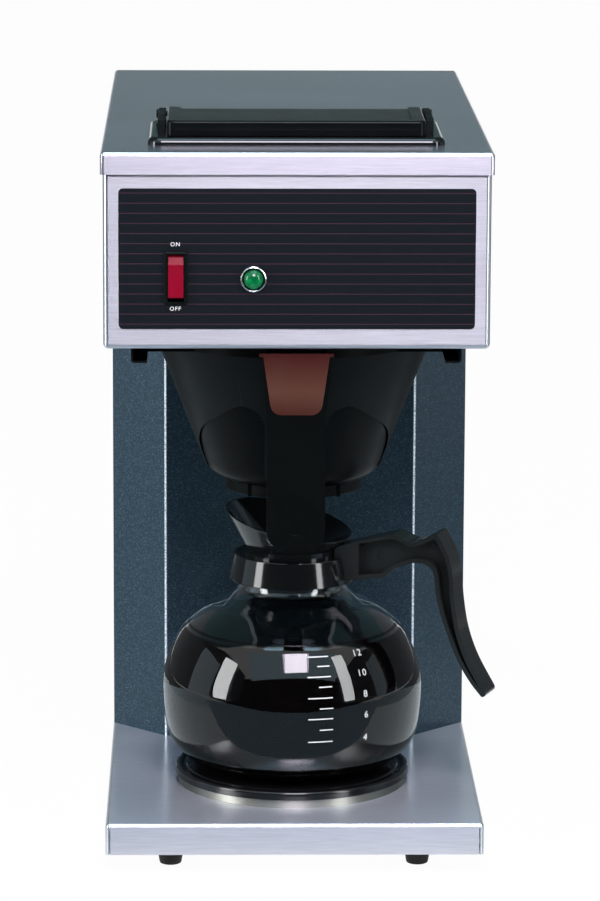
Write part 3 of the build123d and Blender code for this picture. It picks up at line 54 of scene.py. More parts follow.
# %% Places and directions
CENTRE_X = 3.890014
CENTRE_Y = 196.65
BREW_Y = 98.0
HANDLE_ANGLE = radians(21.5)
HALF_WIDTH, DEPTH = 106.75, 396
BASE_LOW, BASE_TOP, HEAD_LOW, HEAD_TOP, LID_TOP = 12, 30, 301.5, 409.5, 411.1
LAMP_X, LAMP_Z = -24, 340.9


def at(x, y, z):
    """A place in millimetres from the centre line, the front panel and the counter."""
    return Vector(((x - CENTRE_X) / 1000, (y - CENTRE_Y) / 1000, z / 1000))


def millimetres(place):
    """The same place turned back into millimetres."""
    return Vector((place.x * 1000 + CENTRE_X, place.y * 1000 + CENTRE_Y, place.z * 1000))


brew_axis = at(0, BREW_Y, 0)
print("the brewing axis is at", [round(v, 4) for v in brew_axis])

# %% [markdown]
# ## The camera
# The photograph is taken from in front, a little above the lid and a little to the left, with a long lens,
# so the upright lines stay nearly parallel. The matrix below holds the picture's right, its down and its
# depth, built from a pitch of 11.3 degrees, a small turn and a very small roll.


# %% Camera
def set_all(thing, **settings):
    """Set several settings of one thing."""
    for setting, value in settings.items():
        setattr(thing, setting, value)


pitch, turn, roll = radians(11.309), radians(1.187), radians(0.242)
level = Matrix(((1, 0, 0), (0, 0, -1), (0, 1, 0)))
pitched = Matrix(((1, 0, 0), (0, cos(pitch), -sin(pitch)), (0, sin(pitch), cos(pitch))))
turned = Matrix(((cos(turn), -sin(turn), 0), (sin(turn), cos(turn), 0), (0, 0, 1)))
rolled = Matrix(((cos(roll), -sin(roll), 0), (sin(roll), cos(roll), 0), (0, 0, 1)))
view = rolled @ pitched @ level @ turned
bpy.ops.object.camera_add(location=(0, 0, 0))
camera = bpy.context.object
camera.name = "photo_camera"
set_all(camera.data, lens=179.455, sensor_width=36, clip_end=40)
axes = Matrix((view[0], -view[1], -view[2])).transposed().to_4x4()
camera.matrix_world = Matrix.Translation(at(-48.58, -2440.17, 732.76)) @ axes
bpy.context.scene.camera = camera
print("the camera is at", [round(v, 3) for v in camera.location])

# %% [markdown]
# ## Hand tools
# The pieces below are made with the same few moves: put everything down, open one piece for editing, pick
# corners, edges or faces by where they are, and round, thicken, cut or copy them. Each move is written once
# here, so that the pieces themselves stay short.


# %% Put down, open and pick
def put_down():
    """Leave edit mode and deselect everything."""
    if bpy.context.object and bpy.context.object.mode == "EDIT":
        bpy.ops.object.mode_set(mode="OBJECT")
    bpy.ops.object.select_all(action="DESELECT")


def take(piece):
    """Select one piece alone and make it active."""
    put_down()
    piece.select_set(True)
    bpy.context.view_layer.objects.active = piece


def open_up(piece):
    """Take one piece into edit mode, with all of it picked."""
    take(piece)
    bpy.ops.object.mode_set(mode="EDIT")
    bpy.ops.mesh.select_mode(type="VERT")
    bpy.ops.mesh.select_all(action="SELECT")


def pick(piece, kind, wanted):
    """In edit mode, select the VERT, EDGE or FACE parts that wanted(middle in mm, direction) accepts."""
    bpy.ops.mesh.select_mode(type=kind)
    bpy.ops.mesh.select_all(action="DESELECT")
    mesh = bmesh.from_edit_mesh(piece.data)
    mesh.normal_update()
    for part in {"VERT": mesh.verts, "EDGE": mesh.edges, "FACE": mesh.faces}[kind]:
        if kind == "VERT":
            middle, way = part.co, part.normal
        elif kind == "EDGE":
            middle = (part.verts[0].co + part.verts[1].co) / 2
            way = (part.verts[1].co - part.verts[0].co).normalized()
        else:
            middle, way = part.calc_center_median(), part.normal
        part.select_set(bool(wanted(millimetres(middle), way)))
    mesh.select_flush_mode()
    bmesh.update_edit_mesh(piece.data)


print("tools: put_down, take, open_up, pick")


# %% Blocks and outlines
def block(name, x, y, z):
    """A box between two x, two y and two z values in millimetres, its place in its mesh."""
    put_down()
    bpy.ops.mesh.primitive_cube_add(size=1, location=(0, 0, 0))
    piece = bpy.context.object
    piece.name = name
    low, high = (at(*ends) for ends in zip(x, y, z))
    open_up(piece)
    bpy.ops.transform.resize(value=high - low, center_override=(0, 0, 0))
    bpy.ops.transform.translate(value=(high + low) / 2)
    put_down()
    return piece


def draw(name, spots):
    """A line of edges through places in the frame, drawn corner by corner."""
    put_down()
    bpy.ops.mesh.primitive_plane_add(size=0.001, location=(0, 0, 0))
    piece = bpy.context.object
    piece.name = name
    open_up(piece)
    bpy.ops.mesh.merge(type="CENTER")
    bpy.ops.transform.translate(value=spots[0])
    for before, after in zip(spots, spots[1:]):
        bpy.ops.mesh.extrude_vertices_move(TRANSFORM_OT_translate={"value": after - before})
    put_down()
    return piece


def weld(piece):
    """Merge corners that lie together and turn all faces outwards."""
    open_up(piece)
    bpy.ops.mesh.remove_doubles(threshold=0.000005)
    bpy.ops.mesh.normals_make_consistent(inside=False)
    put_down()


def slab(name, spots, way):
    """A flat outline filled with a face and pulled along a direction into a solid."""
    piece = draw(name, [*spots, spots[0]])
    open_up(piece)
    bpy.ops.mesh.remove_doubles(threshold=0.000005)
    bpy.ops.mesh.edge_face_add()
    bpy.ops.mesh.extrude_region_move(TRANSFORM_OT_translate={"value": way})
    weld(piece)
    return piece


def front_slab(name, outline, y, depth):
    """A slab with its outline of x and z values at a y, so many millimetres deep."""
    return slab(name, [at(x, y, z) for x, z in outline], Vector((0, depth / 1000, 0)))


def side_slab(name, outline, x, width):
    """A slab with its outline of y and z values at an x, so many millimetres wide."""
    return slab(name, [at(x, y, z) for y, z in outline], Vector((width / 1000, 0, 0)))


print("tools: block, draw, weld, slab, front_slab, side_slab")


# %% Round shapes and smooth curves
def lathe(name, spots, steps, centre=brew_axis, axis=(0, 0, 1), angle=2 * pi):
    """A line spun round an axis, all the way unless an angle is given."""
    piece = draw(name, spots)
    open_up(piece)
    bpy.ops.mesh.spin(steps=steps, angle=angle, center=centre, axis=axis)
    weld(piece)
    return piece


def rings(*profile):
    """Radius and height pairs in millimetres as places beside the brewing axis."""
    return [at(radius, BREW_Y, height) for radius, height in profile]


def rod(name, start, end, radius, sides=48):
    """A round bar between two places, used as a pin or as a drill."""
    put_down()
    along = end - start
    turn_to = along.to_track_quat("Z", "Y").to_euler()
    bpy.ops.mesh.primitive_cylinder_add(
        vertices=sides, radius=radius / 1000, depth=along.length, location=(start + end) / 2, rotation=turn_to
    )
    bpy.context.object.name = name
    bpy.ops.object.transform_apply(location=True, rotation=True, scale=True)
    return bpy.context.object


def on_curve(t, p, q, r, s):
    """A share t of the way from q to r on a smooth curve that comes from p and goes on to s."""
    return 0.5 * (2 * q + (r - p) * t + (2 * p - 5 * q + 4 * r - s) * t**2 + (3 * q - p - 3 * r + s) * t**3)


def smooth_line(points, per):
    """A smooth curve through points, with so many short runs between each pair."""
    ends = [points[0], *points, points[-1]]
    line = []
    for a, b, c, d in zip(ends, ends[1:], ends[2:], ends[3:]):
        for step in range(per):
            line.append(tuple(on_curve(step / per, *values) for values in zip(a, b, c, d)))
    return [*line, tuple(points[-1])]


def corner(centre, radius, start, stop, steps=5):
    """Points on an arc about a centre, from one angle to another in degrees."""
    angles = [radians(start + (stop - start) * step / steps) for step in range(steps + 1)]
    return [(centre[0] + radius * cos(angle), centre[1] + radius * sin(angle)) for angle in angles]


print("tools: lathe, rings, rod, on_curve, smooth_line, corner")


# %% Round, thicken, cut, copy and join
def round_edges(piece, wanted, radius, segments=4):
    """Bevel the edges that wanted(middle, direction) accepts, to a radius in millimetres."""
    open_up(piece)
    pick(piece, "EDGE", wanted)
    bpy.ops.mesh.bevel(offset=radius / 1000, segments=segments, affect="EDGES", clamp_overlap=True)
    put_down()


def upright(p, d):
    """Whether an edge runs up and down."""
    return abs(d.z) > 0.5


def from_front(p, d):
    """Whether an edge runs from front to back."""
    return abs(d.y) > 0.5


def work(piece, kind, **settings):
    """Put a modifier with these settings on a piece and apply it."""
    take(piece)
    tool = piece.modifiers.new(kind.lower(), kind)
    set_all(tool, **settings)
    bpy.ops.object.modifier_apply(modifier=tool.name)


def thicken(piece, thickness):
    """Give a sheet its thickness in millimetres, inwards from its outer face."""
    work(piece, "SOLIDIFY", thickness=thickness / 1000, offset=-1, use_even_offset=True)


def soften(piece, radius, angle=35, segments=2):
    """Round every sharp edge a little, as a moulding's or a sheet's edges are."""
    limits = {"limit_method": "ANGLE", "angle_limit": radians(angle), "use_clamp_overlap": True}
    work(piece, "BEVEL", width=radius / 1000, segments=segments, **limits)


def carve(piece, cutter, how="DIFFERENCE"):
    """Cut one solid out of another, or add it with UNION, and clear the tool away."""
    work(piece, "BOOLEAN", operation=how, solver="EXACT", object=cutter)
    bpy.data.objects.remove(cutter)


def cut_box(piece, x, y, z):
    """Cut a rectangular opening between two x, two y and two z values."""
    carve(piece, block("cutter", x, y, z))


def drill(piece, start, end, radius, sides=48):
    """Cut a round hole between two places in millimetres."""
    carve(piece, rod("drill", at(*start), at(*end), radius, sides))


def copied(piece, x=0, y=0, z=0):
    """A copy of a piece with its own mesh, moved by these millimetres."""
    take(piece)
    bpy.ops.object.duplicate(linked=False)
    copy = bpy.context.object
    open_up(copy)
    bpy.ops.transform.translate(value=Vector((x, y, z)) / 1000)
    put_down()
    return copy


def join(piece, *others):
    """Make several meshes one piece."""
    take(piece)
    for other in others:
        other.select_set(True)
    bpy.ops.object.join()
    put_down()


print("tools: round_edges, upright, from_front, work, thicken, soften, carve, cut_box, drill, copied, join")


# %% Hand a finished piece over to the frame
def hand_over(piece, body, slot, material, *nodes, angle=32):
    """Shade a piece, give it its finish, and let it ride on its body in place of its plain nodes."""
    take(piece)
    bpy.ops.object.shade_smooth_by_angle(angle=radians(angle))
    work(piece, "WEIGHTED_NORMAL", keep_sharp=True)
    piece.data.materials.clear()
    piece.data.materials.append(material)
    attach(piece, body)
    if nodes:
        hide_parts(*nodes)
    piece.data.calc_loop_triangles()
    print(piece.name, "has", len(piece.data.loop_triangles), "triangles")


# %% [markdown]
# ## How a finish is built
# A finish is one shader with plain values, and nodes that vary its colour, roughness or bump where the real
# surface varies. A few helpers start a finish and add nodes to it. Patterns are measured on the object
# itself, in metres, so they stay where they are when the view or the pose changes.


# %% Start a finish and add nodes
def start_finish(name, colour, roughness, metallic=0.0, sockets=()):
    """A new material whose shader has these plain values."""
    material = bpy.data.materials.new(name)
    material.use_nodes = True
    inputs = material.node_tree.nodes["Principled BSDF"].inputs
    inputs["Base Color"].default_value = (*colour, 1)
    inputs["Roughness"].default_value = roughness
    inputs["Metallic"].default_value = metallic
    for socket, value in sockets:
        inputs[socket].default_value = value
    return material


def add_node(owner, kind, inputs=(), **settings):
    """Add a node to a material or the world, and give its inputs plain values or other nodes' outputs."""
    node = owner.node_tree.nodes.new("ShaderNode" + kind)
    set_all(node, **settings)
    for socket, value in dict(inputs).items():
        if isinstance(value, bpy.types.NodeSocket):
            owner.node_tree.links.new(value, node.inputs[socket])
        else:
            node.inputs[socket].default_value = value
    return node


def maths(owner, operation, *terms):
    """One step of arithmetic on plain values or other nodes' outputs."""
    return add_node(owner, "Math", enumerate(terms), operation=operation).outputs[0]


def feed(material, socket, output):
    """Lead an output into the finish's own shader."""
    shader = material.node_tree.nodes["Principled BSDF"]
    material.node_tree.links.new(output, shader.inputs[socket])


print("finish helpers: start_finish, add_node, maths, feed")


# %% Patterns and blends
def place_on(material, axis=None):
    """A point's place on the object in metres, or how far it is along one axis."""
    place = add_node(material, "TexCoord").outputs["Object"]
    return add_node(material, "SeparateXYZ", {0: place}).outputs[axis] if axis else place


def speckle(material, scale, stretch=(1, 1, 1), detail=3.0):
    """Noise over the object's own metres, stretched along its axes."""
    spot = add_node(material, "Mapping", {"Scale": stretch, "Vector": place_on(material)}).outputs["Vector"]
    return add_node(material, "TexNoise", {"Scale": scale, "Detail": detail, "Vector": spot}).outputs["Fac"]


def spread(material, value, low, high, from_low=0.3, from_high=0.7):
    """Stretch a value, a noise unless its own range is given, onto the range that a socket needs."""
    ends = {"From Min": from_low, "From Max": from_high, "To Min": low, "To Max": high}
    return add_node(material, "MapRange", {"Value": value, **ends}).outputs["Result"]


def uneven(material, scale, low, high):
    """Let the gloss of a finish wander between two values of roughness."""
    feed(material, "Roughness", spread(material, speckle(material, scale), low, high))


def blend_numbers(material, factor, first, second):
    """A number that runs between two outputs as a value runs from 0 to 1."""
    return add_node(material, "Mix", {0: factor, 2: first, 3: second}).outputs[0]


def blend_colours(material, factor, first, second):
    """A colour that runs between two colours or outputs as a value runs from 0 to 1."""
    first, second = ((*end, 1) if isinstance(end, tuple) else end for end in (first, second))
    return add_node(material, "Mix", {0: factor, 6: first, 7: second}, data_type="RGBA").outputs[2]


def bump(material, height, depth, strength=1.0):
    """A small relief, with its depth in metres."""
    relief = add_node(material, "Bump", {"Strength": strength, "Distance": depth, "Height": height})
    feed(material, "Normal", relief.outputs["Normal"])


print("finish helpers: place_on, speckle, spread, uneven, blend_numbers, blend_colours, bump")

# %% [markdown]
# ## Brushed stainless
# The head, lid and base are brushed sheet. The grain runs across the machine on the front and the top, and
# from front to back on the sides, so two long thin noises are mixed by the direction that the surface
# faces. Fine scratches smear a reflection at right angles to themselves, so the shader is anisotropic: its
# tangent is the grain's direction crossed with the surface's normal.


# %% Stainless finishes
def brushed(name, colour, roughness, lying):
    """Brushed sheet steel whose grain and smear follow it round the corner, smoother where it lies flat."""
    steel = start_finish(name, colour, roughness, 1.0, [("Anisotropic", 0.88)])
    across = speckle(steel, 1.0, (60, 1900, 1900))
    along = speckle(steel, 1.0, (1900, 60, 1900))
    facing = add_node(steel, "TexCoord").outputs["Normal"]
    ways = add_node(steel, "SeparateXYZ", {0: facing}).outputs
    is_side = maths(steel, "GREATER_THAN", maths(steel, "ABSOLUTE", ways["X"]), 0.7)
    not_side = maths(steel, "SUBTRACT", 1.0, is_side)
    grain_way = add_node(steel, "CombineXYZ", {0: not_side, 1: is_side}).outputs[0]
    smear = add_node(steel, "VectorMath", {0: grain_way, 1: facing}, operation="CROSS_PRODUCT").outputs[0]
    feed(steel, "Tangent", smear)
    cloudy = speckle(steel, 14, (0.4, 1, 1.6))
    standing = spread(steel, cloudy, roughness - 0.012, roughness + 0.015)
    flat = spread(steel, cloudy, lying - 0.01, lying + 0.01)
    level_share = spread(steel, ways["Z"], 0, 1, 0.75, 0.98)
    feed(steel, "Roughness", blend_numbers(steel, level_share, standing, flat))
    grain = blend_numbers(steel, is_side, across, along)
    pale = tuple(min(1.0, channel * 1.12) for channel in colour)
    dark = tuple(channel * 0.88 for channel in colour)
    feed(steel, "Base Color", blend_colours(steel, spread(steel, grain, 0, 1, 0.2, 0.8), dark, pale))
    bump(steel, grain, 0.000004)
    return steel


stainless = brushed("brushed_stainless", (0.65, 0.66, 0.70), 0.33, 0.295)
lid_stainless = brushed("lid_stainless", (0.66, 0.65, 0.71), 0.33, 0.165)
print("brushed finishes:", stainless.name, lid_stainless.name)

# %% [markdown]
# ## Sparkle paint
# The column is painted dark blue-grey with fine metal flecks in it. Small cells each get their own
# brightness, so that a few of them shine, and a fine orange-peel bump breaks up the reflections. Along the
# sheet's two front bends, a painted highlight is laid into the paint's colour as a thin broken bright line.
# The line is found by its distance from the bend.


# %% Column paint
def flecked(name, dark, bright, size):
    """Paint with bright flecks of about one size in metres, and the colour that they make."""
    coat = [("Coat Weight", 0.4), ("Coat Roughness", 0.2), ("Coat IOR", 1.4)]
    paint = start_finish(name, dark, 0.5, 0.9, coat)
    cells = add_node(paint, "TexVoronoi", {"Scale": 1 / size, "Vector": place_on(paint)}).outputs["Color"]
    cell = add_node(paint, "SeparateXYZ", {0: cells}).outputs["X"]
    colour = blend_colours(paint, maths(paint, "POWER", cell, 8.0), dark, bright)
    feed(paint, "Base Color", colour)
    bump(paint, speckle(paint, 900, detail=2.0), 0.00003)
    return paint, colour


def rub_bends(paint, colour, reach):
    """Paint a thin broken highlight into the colour on the two front bends, which are this far from the
    centre line in metres.
    """
    out = maths(paint, "ABSOLUTE", maths(paint, "ADD", place_on(paint, "X"), CENTRE_X / 1000))
    gap = maths(paint, "ABSOLUTE", maths(paint, "SUBTRACT", out, reach))
    near = spread(paint, gap, 1, 0, 0.0003, 0.0009)
    broken = spread(paint, speckle(paint, 1100, detail=2.0), 0.35, 1.0, 0.35, 0.6)
    bend_highlight = maths(paint, "MULTIPLY", near, broken)
    # Painted highlight: a pale blue-white line is laid into the paint's colour along each front bend.
    feed(paint, "Base Color", blend_colours(paint, bend_highlight, colour, (0.85, 0.93, 1.0)))


PAINT, FLECK = (0.022, 0.044, 0.063), (0.095, 0.155, 0.21)
PANEL_HALF_WIDTH = 74.4
column_paint, column_colour = flecked("sparkle_paint", PAINT, FLECK, 0.0004)
# The column's two front bends get a painted highlight line in the paint's colour.
rub_bends(column_paint, column_colour, PANEL_HALF_WIDTH / 1000)
panel_paint, _ = flecked("panel_paint", PAINT, FLECK, 0.0004)
rail_paint, _ = flecked("rail_paint", (0.010, 0.011, 0.012), (0.04, 0.04, 0.045), 0.0009)
print("paints:", column_paint.name, panel_paint.name, rail_paint.name)

# %% [markdown]
# ## Black plastics, enamel and rubber
# Many blacks lie side by side here, and they differ in gloss and grain far more than in colour. The cone is
# satin with a fine moulded texture and a smoother strap, the cover and the hinge ears are duller than the
# glossy basin, the carafe's grip is a greyer gloss, the warmer's plate is fired enamel, and the feet are
# dull rubber.


# %% Black finishes
def moulded(name, colour, roughness, grain_scale, depth, specular=0.5):
    """Moulded plastic: one colour, with slightly uneven gloss and a fine texture, its depth in metres."""
    plastic = start_finish(name, colour, roughness, 0.0, [("Specular IOR Level", specular)])
    uneven(plastic, 60, roughness * 0.85, roughness * 1.2)
    cloudy = spread(plastic, speckle(plastic, 35), 0, 1)
    pale = tuple(channel * 1.25 for channel in colour)
    feed(plastic, "Base Color", blend_colours(plastic, cloudy, colour, pale))
    bump(plastic, speckle(plastic, grain_scale, detail=2.0), depth)
    return plastic


black_plastic = moulded("satin_black_plastic", (0.0030, 0.0044, 0.0046), 0.34, 1600, 0.000008, 0.07)
bowl_black = moulded("bowl_plastic", (0.0014, 0.0020, 0.0020), 0.30, 1600, 0.000006, 0.06)
flap_black = moulded("flap_plastic", (0.0025, 0.0035, 0.0038), 0.22, 900, 0.000002, 0.08)
gloss_black = moulded("gloss_black_plastic", (0.004, 0.005, 0.0055), 0.10, 700, 0.000001, 0.45)
dull_black = moulded("dull_black_plastic", (0.004, 0.0055, 0.006), 0.45, 1200, 0.000006, 0.06)
grip_black = moulded("grip_plastic", (0.0085, 0.0102, 0.0102), 0.19, 500, 0.000002, 0.3)
strap_black = moulded("strap_plastic", (0.0018, 0.0026, 0.0026), 0.22, 900, 0.000002, 0.25)
enamel = moulded("black_enamel", (0.005, 0.005, 0.006), 0.14, 240, 0.000012, 0.4)
rubber = moulded("black_rubber", (0.010, 0.010, 0.011), 0.62, 1400, 0.00002, 0.3)
insulator = moulded("ceramic_insulator", (0.62, 0.58, 0.50), 0.6, 900, 0.00002)
print("moulded finishes:", [m.name for m in bpy.data.materials if m.name.endswith("plastic")])

# %% [markdown]
# ## The printed label
# The front overlay is near-black film with thin dark-red lines across it, 5.6 mm apart. The lines come from
# the height on the object: its remainder after dividing by the spacing is compared with a line's thickness.

# %% Label finish
FILM, FILM_LINE = (0.0060, 0.0085, 0.0115), (0.042, 0.018, 0.034)
LOWEST_LINE, LINE_SPACING, LINE_SHARE = 0.31545, 0.0056, 0.08
label_film = start_finish("label_film", FILM, 0.3, 0.0, [("Specular IOR Level", 0.22)])
label_rise = maths(label_film, "SUBTRACT", place_on(label_film, "Z"), LOWEST_LINE)
label_share = maths(label_film, "FRACT", maths(label_film, "MULTIPLY", label_rise, 1 / LINE_SPACING))
label_line = maths(label_film, "LESS_THAN", label_share, LINE_SHARE)
feed(label_film, "Base Color", blend_colours(label_film, label_line, FILM, FILM_LINE))
uneven(label_film, 2400, 0.28, 0.33)
bump(label_film, speckle(label_film, 1500), 0.000002)
print("label lines every", 1000 * LINE_SPACING, "mm")

# %% [markdown]
# ## Glass, coffee and small parts
# The globe is clear glass with a hardly visible ripple. The coffee is a dark liquid that swallows light,
# with a hint of red-brown. The tab carries painted shade towards its top, under the head, and painted light
# across its middle. The chrome and the screws are plain metals with uneven gloss, and the jewel's cells
# carry painted glints like light caught by its cut back, over a skirt in painted shade.

# %% Glass, coffee and the coloured plastics
clear = [("Transmission Weight", 1.0), ("IOR", 1.47)]
glass = start_finish("clear_glass", (0.97, 0.99, 0.99), 0.0, 0.0, clear)
bump(glass, speckle(glass, 20, detail=0.0), 0.00004)
wet = [("IOR", 1.33), ("Specular IOR Level", 0.1)]
coffee_liquid = start_finish("coffee_liquid", (0.002, 0.0015, 0.0015), 0.08, 0.0, wet)
coffee_cloud = spread(coffee_liquid, speckle(coffee_liquid, 22), 0, 1)
coffee_tone = blend_colours(coffee_liquid, coffee_cloud, (0.0015, 0.0012, 0.0014), (0.0035, 0.0018, 0.0018))
feed(coffee_liquid, "Base Color", coffee_tone)
rocker_red = moulded("rocker_red", (0.175, 0.0012, 0.014), 0.3, 900, 0.000003, 0.08)
tab_brown = moulded("tab_brown", (0.14, 0.030, 0.019), 0.36, 1200, 0.000006, 0.25)
tab_height = place_on(tab_brown, "Z")
# Painted light and shade: the tab's colour is lightened to tan across its middle and darkened towards its
# top, where the head shades it.
tab_lit_middle_share = spread(tab_brown, tab_height, 0, 1, 0.264, 0.276)
tab_head_shade_share = spread(tab_brown, tab_height, 0, 1, 0.277, 0.296)
tab_lit_lower_colour = blend_colours(tab_brown, tab_lit_middle_share, (0.046, 0.011, 0.008), (0.072, 0.027, 0.018))
feed(tab_brown, "Base Color", blend_colours(tab_brown, tab_head_shade_share, tab_lit_lower_colour, (0.042, 0.006, 0.005)))
print("glass, coffee and coloured plastics are ready")

# %% Metals, the lamp and the print
chrome = start_finish("chrome", (0.55, 0.56, 0.57), 0.24, 1.0)
uneven(chrome, 300, 0.2, 0.3)
ring_steel = start_finish("ring_steel", (0.30, 0.30, 0.27), 0.45, 1.0, [("Anisotropic", 0.8)])
feed(ring_steel, "Tangent", add_node(ring_steel, "CombineXYZ", {2: 1.0}).outputs[0])
feed(ring_steel, "Roughness", spread(ring_steel, speckle(ring_steel, 1.0, (90, 90, 2400)), 0.42, 0.50))
zinc = start_finish("zinc_screw", (0.55, 0.55, 0.56), 0.3, 1.0)
uneven(zinc, 700, 0.22, 0.4)
inner_steel = start_finish("inner_steel", (0.5, 0.5, 0.51), 0.32, 1.0)
uneven(inner_steel, 160, 0.26, 0.42)
bulb_glass = start_finish("bulb_glass", (0.8, 0.82, 0.75), 0.1, 0.0, [("Transmission Weight", 0.6)])
uneven(bulb_glass, 400, 0.06, 0.16)
print_white = start_finish("print_white", (0.72, 0.74, 0.76), 0.5)
uneven(print_white, 900, 0.42, 0.58)
jewel = start_finish("green_jewel", (0.001, 0.13, 0.04), 0.08, 0.0, [("Specular IOR Level", 0.4)])
jewel_cells = add_node(jewel, "TexVoronoi", {"Scale": 330, "Vector": place_on(jewel)}).outputs["Distance"]
# Painted glints: the jewel's cells are coloured brighter and darker green, standing for light caught by a cut
# back.
jewel_glint_share = spread(jewel, jewel_cells, 0, 1, 0.1, 0.7)
jewel_glint_colour = blend_colours(jewel, jewel_glint_share, (0.002, 0.20, 0.06), (0.0008, 0.09, 0.027))
# Painted shade: the skirt round the dome is coloured near black, for the shade behind the bezel.
jewel_skirt_shade_share = spread(jewel, place_on(jewel, "Y"), 0, 1, -0.2000, -0.1992)
feed(jewel, "Base Color", blend_colours(jewel, jewel_skirt_shade_share, jewel_glint_colour, (0.0005, 0.012, 0.006)))
bump(jewel, jewel_cells, 0.0002, 0.2)
print("so far there are", len(bpy.data.materials), "finishes")

# %% [markdown]
# ## The base
# The base is one stainless sheet folded down on four sides over a pan, like a shallow box lid. A block is
# opened below, its upright and top edges are bent to the fold's radius, and the sheet gets its 1 mm. The
# front corners show the fold's open seams, and a hole under the warmer lets its heater through. The head
# and the lid are folded sheets as well, so the folding is written as a tool.


# %% Base tray
def folded(name, x, y, z, gone, bent, radius, segments):
    """A 1 mm sheet folded like a box, without the faces that are gone and rounded at the bent edges."""
    sheet = block(name, x, y, z)
    open_up(sheet)
    pick(sheet, "FACE", gone)
    bpy.ops.mesh.delete(type="FACE")
    round_edges(sheet, bent, radius, segments)
    thicken(sheet, 1.0)
    return sheet


SIDES = (-HALF_WIDTH, HALF_WIDTH)
base = folded(
    "base_tray", SIDES, (0, DEPTH), (BASE_LOW, BASE_TOP),
    lambda p, d: d.z < -0.5, lambda p, d: abs(d.z) > 0.5 or p.z > BASE_TOP - 0.1, 2.2, 5,
)
drill(base, (0, BREW_Y, 25), (0, BREW_Y, 35), 57, 96)
cut_box(base, (-37, 37), (268, 353), (25, 35))
for seam_x in ((-104.5, -104.1), (104.1, 104.5)):
    cut_box(base, seam_x, (-1, 2), (11, 27.2))
hand_over(base, "machine", "stainless", stainless, "base_pan")

# %% [markdown]
# ## The feet
# Four rubber feet taper downwards and have a screw hole from below. One is turned on the lathe and copied,
# each copy with its own mesh, because the four belong to one node.

# %% Rubber feet
FOOT_X, FOOT_Y = 70.3, 26
foot_line = [
    (3.4, 0), (5.3, 0), (6.0, 0.35), (6.3, 1.0), (7.2, 6.5), (8.0, 11.4), (7.7, 12), (1.9, 12), (1.9, 5),
    (3.4, 5), (3.4, 0),
]
foot_spots = [at(radius - FOOT_X, FOOT_Y, height) for radius, height in foot_line]
foot = lathe("foot_rubbers", foot_spots, 40, at(-FOOT_X, FOOT_Y, 0))
across, behind = 2 * FOOT_X, DEPTH - 2 * FOOT_Y
join(foot, copied(foot, y=behind), copied(foot, x=across), copied(foot, x=across, y=behind))
hand_over(foot, "machine", "black_rubber", rubber, "rubber_feet")

# %% [markdown]
# ## The column
# The column is one painted sheet bent into a centre panel, two raked wings and two sides. Its outline is
# drawn on the base, pulled up to the head and bent at its four front corners. Two flanges behind take the
# rear panel's screws.

# %% Column wrap
right_half = [(PANEL_HALF_WIDTH, 193), (106.4, 225), (106.4, DEPTH)]
left_half = [(-x, y) for x, y in reversed(right_half)]
column = draw("column_wrap", [at(x, y, BASE_TOP) for x, y in left_half + right_half])
open_up(column)
column_rise = (HEAD_LOW - BASE_TOP) / 1000
bpy.ops.mesh.extrude_region_move(TRANSFORM_OT_translate={"value": (0, 0, column_rise)})
bpy.ops.mesh.select_all(action="SELECT")
bpy.ops.mesh.normals_make_consistent(inside=False)
round_edges(column, lambda p, d: abs(d.z) > 0.5 and p.y < 230, 0.75)
thicken(column, 1.2)
flange = block("flange", (-105.3, -87.2), (393.3, 394.5), (BASE_TOP, HEAD_LOW))
join(column, flange, copied(flange, x=192.5))
hand_over(column, "machine", "column_paint", column_paint, "column_shell")

# %% [markdown]
# ## The head
# The head is a stainless trough: the front and both sides in one, turned in below. It is open above, where
# the lid sits, and behind, where the rear panel closes it. Its floor has openings for the basket rails and
# the wiring.

# %% Head wrap
head = folded(
    "head_wrap", SIDES, (0, DEPTH), (HEAD_LOW, HEAD_TOP),
    lambda p, d: d.z > 0.5 or d.y > 0.5, lambda p, d: (abs(d.z) > 0.5 or p.z < 302) and p.y < 390, 3.0, 6,
)
for opening_y in ((11.6, 190), (205, 400)):
    cut_box(head, (-92, 92), opening_y, (300, 304))


def front_openings(sheet):
    """Cut the switch's and the lamp's openings through a sheet at the front."""
    cut_box(sheet, (-72.5, -60.9), (-1, 2), (327.5, 355.3))
    drill(sheet, (LAMP_X, -2, LAMP_Z), (LAMP_X, 3, LAMP_Z), 5.4)


front_openings(head)
hand_over(head, "machine", "stainless", stainless, "head_shell")

# %% [markdown]
# ## The lid
# The lid is folded like the base and drops over the head, a sheet's thickness outside it. Its front corners
# show the seams where the front lip meets the side lips, and a hole lets the basin's well through.

# %% Lid sheet
lid = folded(
    "lid_sheet", (-108.15, 108.15), (-1.5, 397.5), (398.6, LID_TOP),
    lambda p, d: d.z < -0.5, lambda p, d: abs(d.z) > 0.5 or p.z > 411, 2.4, 6,
)
cut_box(lid, (-64.3, 64.3), (34.7, 90.3), (405, 415))
for side in (-1, 1):
    seam = [(side * x, z) for x, z in ((106.9, 397), (107.4, 397), (107.75, 408.6), (107.25, 408.6))]
    carve(lid, front_slab("slit", seam, -3, 3.4))
hand_over(lid, "machine", "lid_stainless", lid_stainless, "top_lid")

# %% [markdown]
# ## The front label, the switch and the lamp
# The label is a thin film with rounded corners, cut out for the switch and the lamp. The switch is a framed
# box with a hollow front, and the rocker is a shallow V that tilts in it. The lamp is a chromed ring round
# a cut jewel.

# %% Label overlay
label = block("label_overlay", (-98.2, 98.2), (-0.4, 0), (313, 391))
round_edges(label, from_front, 2.5, 6)
round_edges(label, lambda p, d: p.y < -0.39 and abs(d.y) < 0.5, 0.12, 2)
front_openings(label)
hand_over(label, "machine", "label_black", label_film, "control_label")

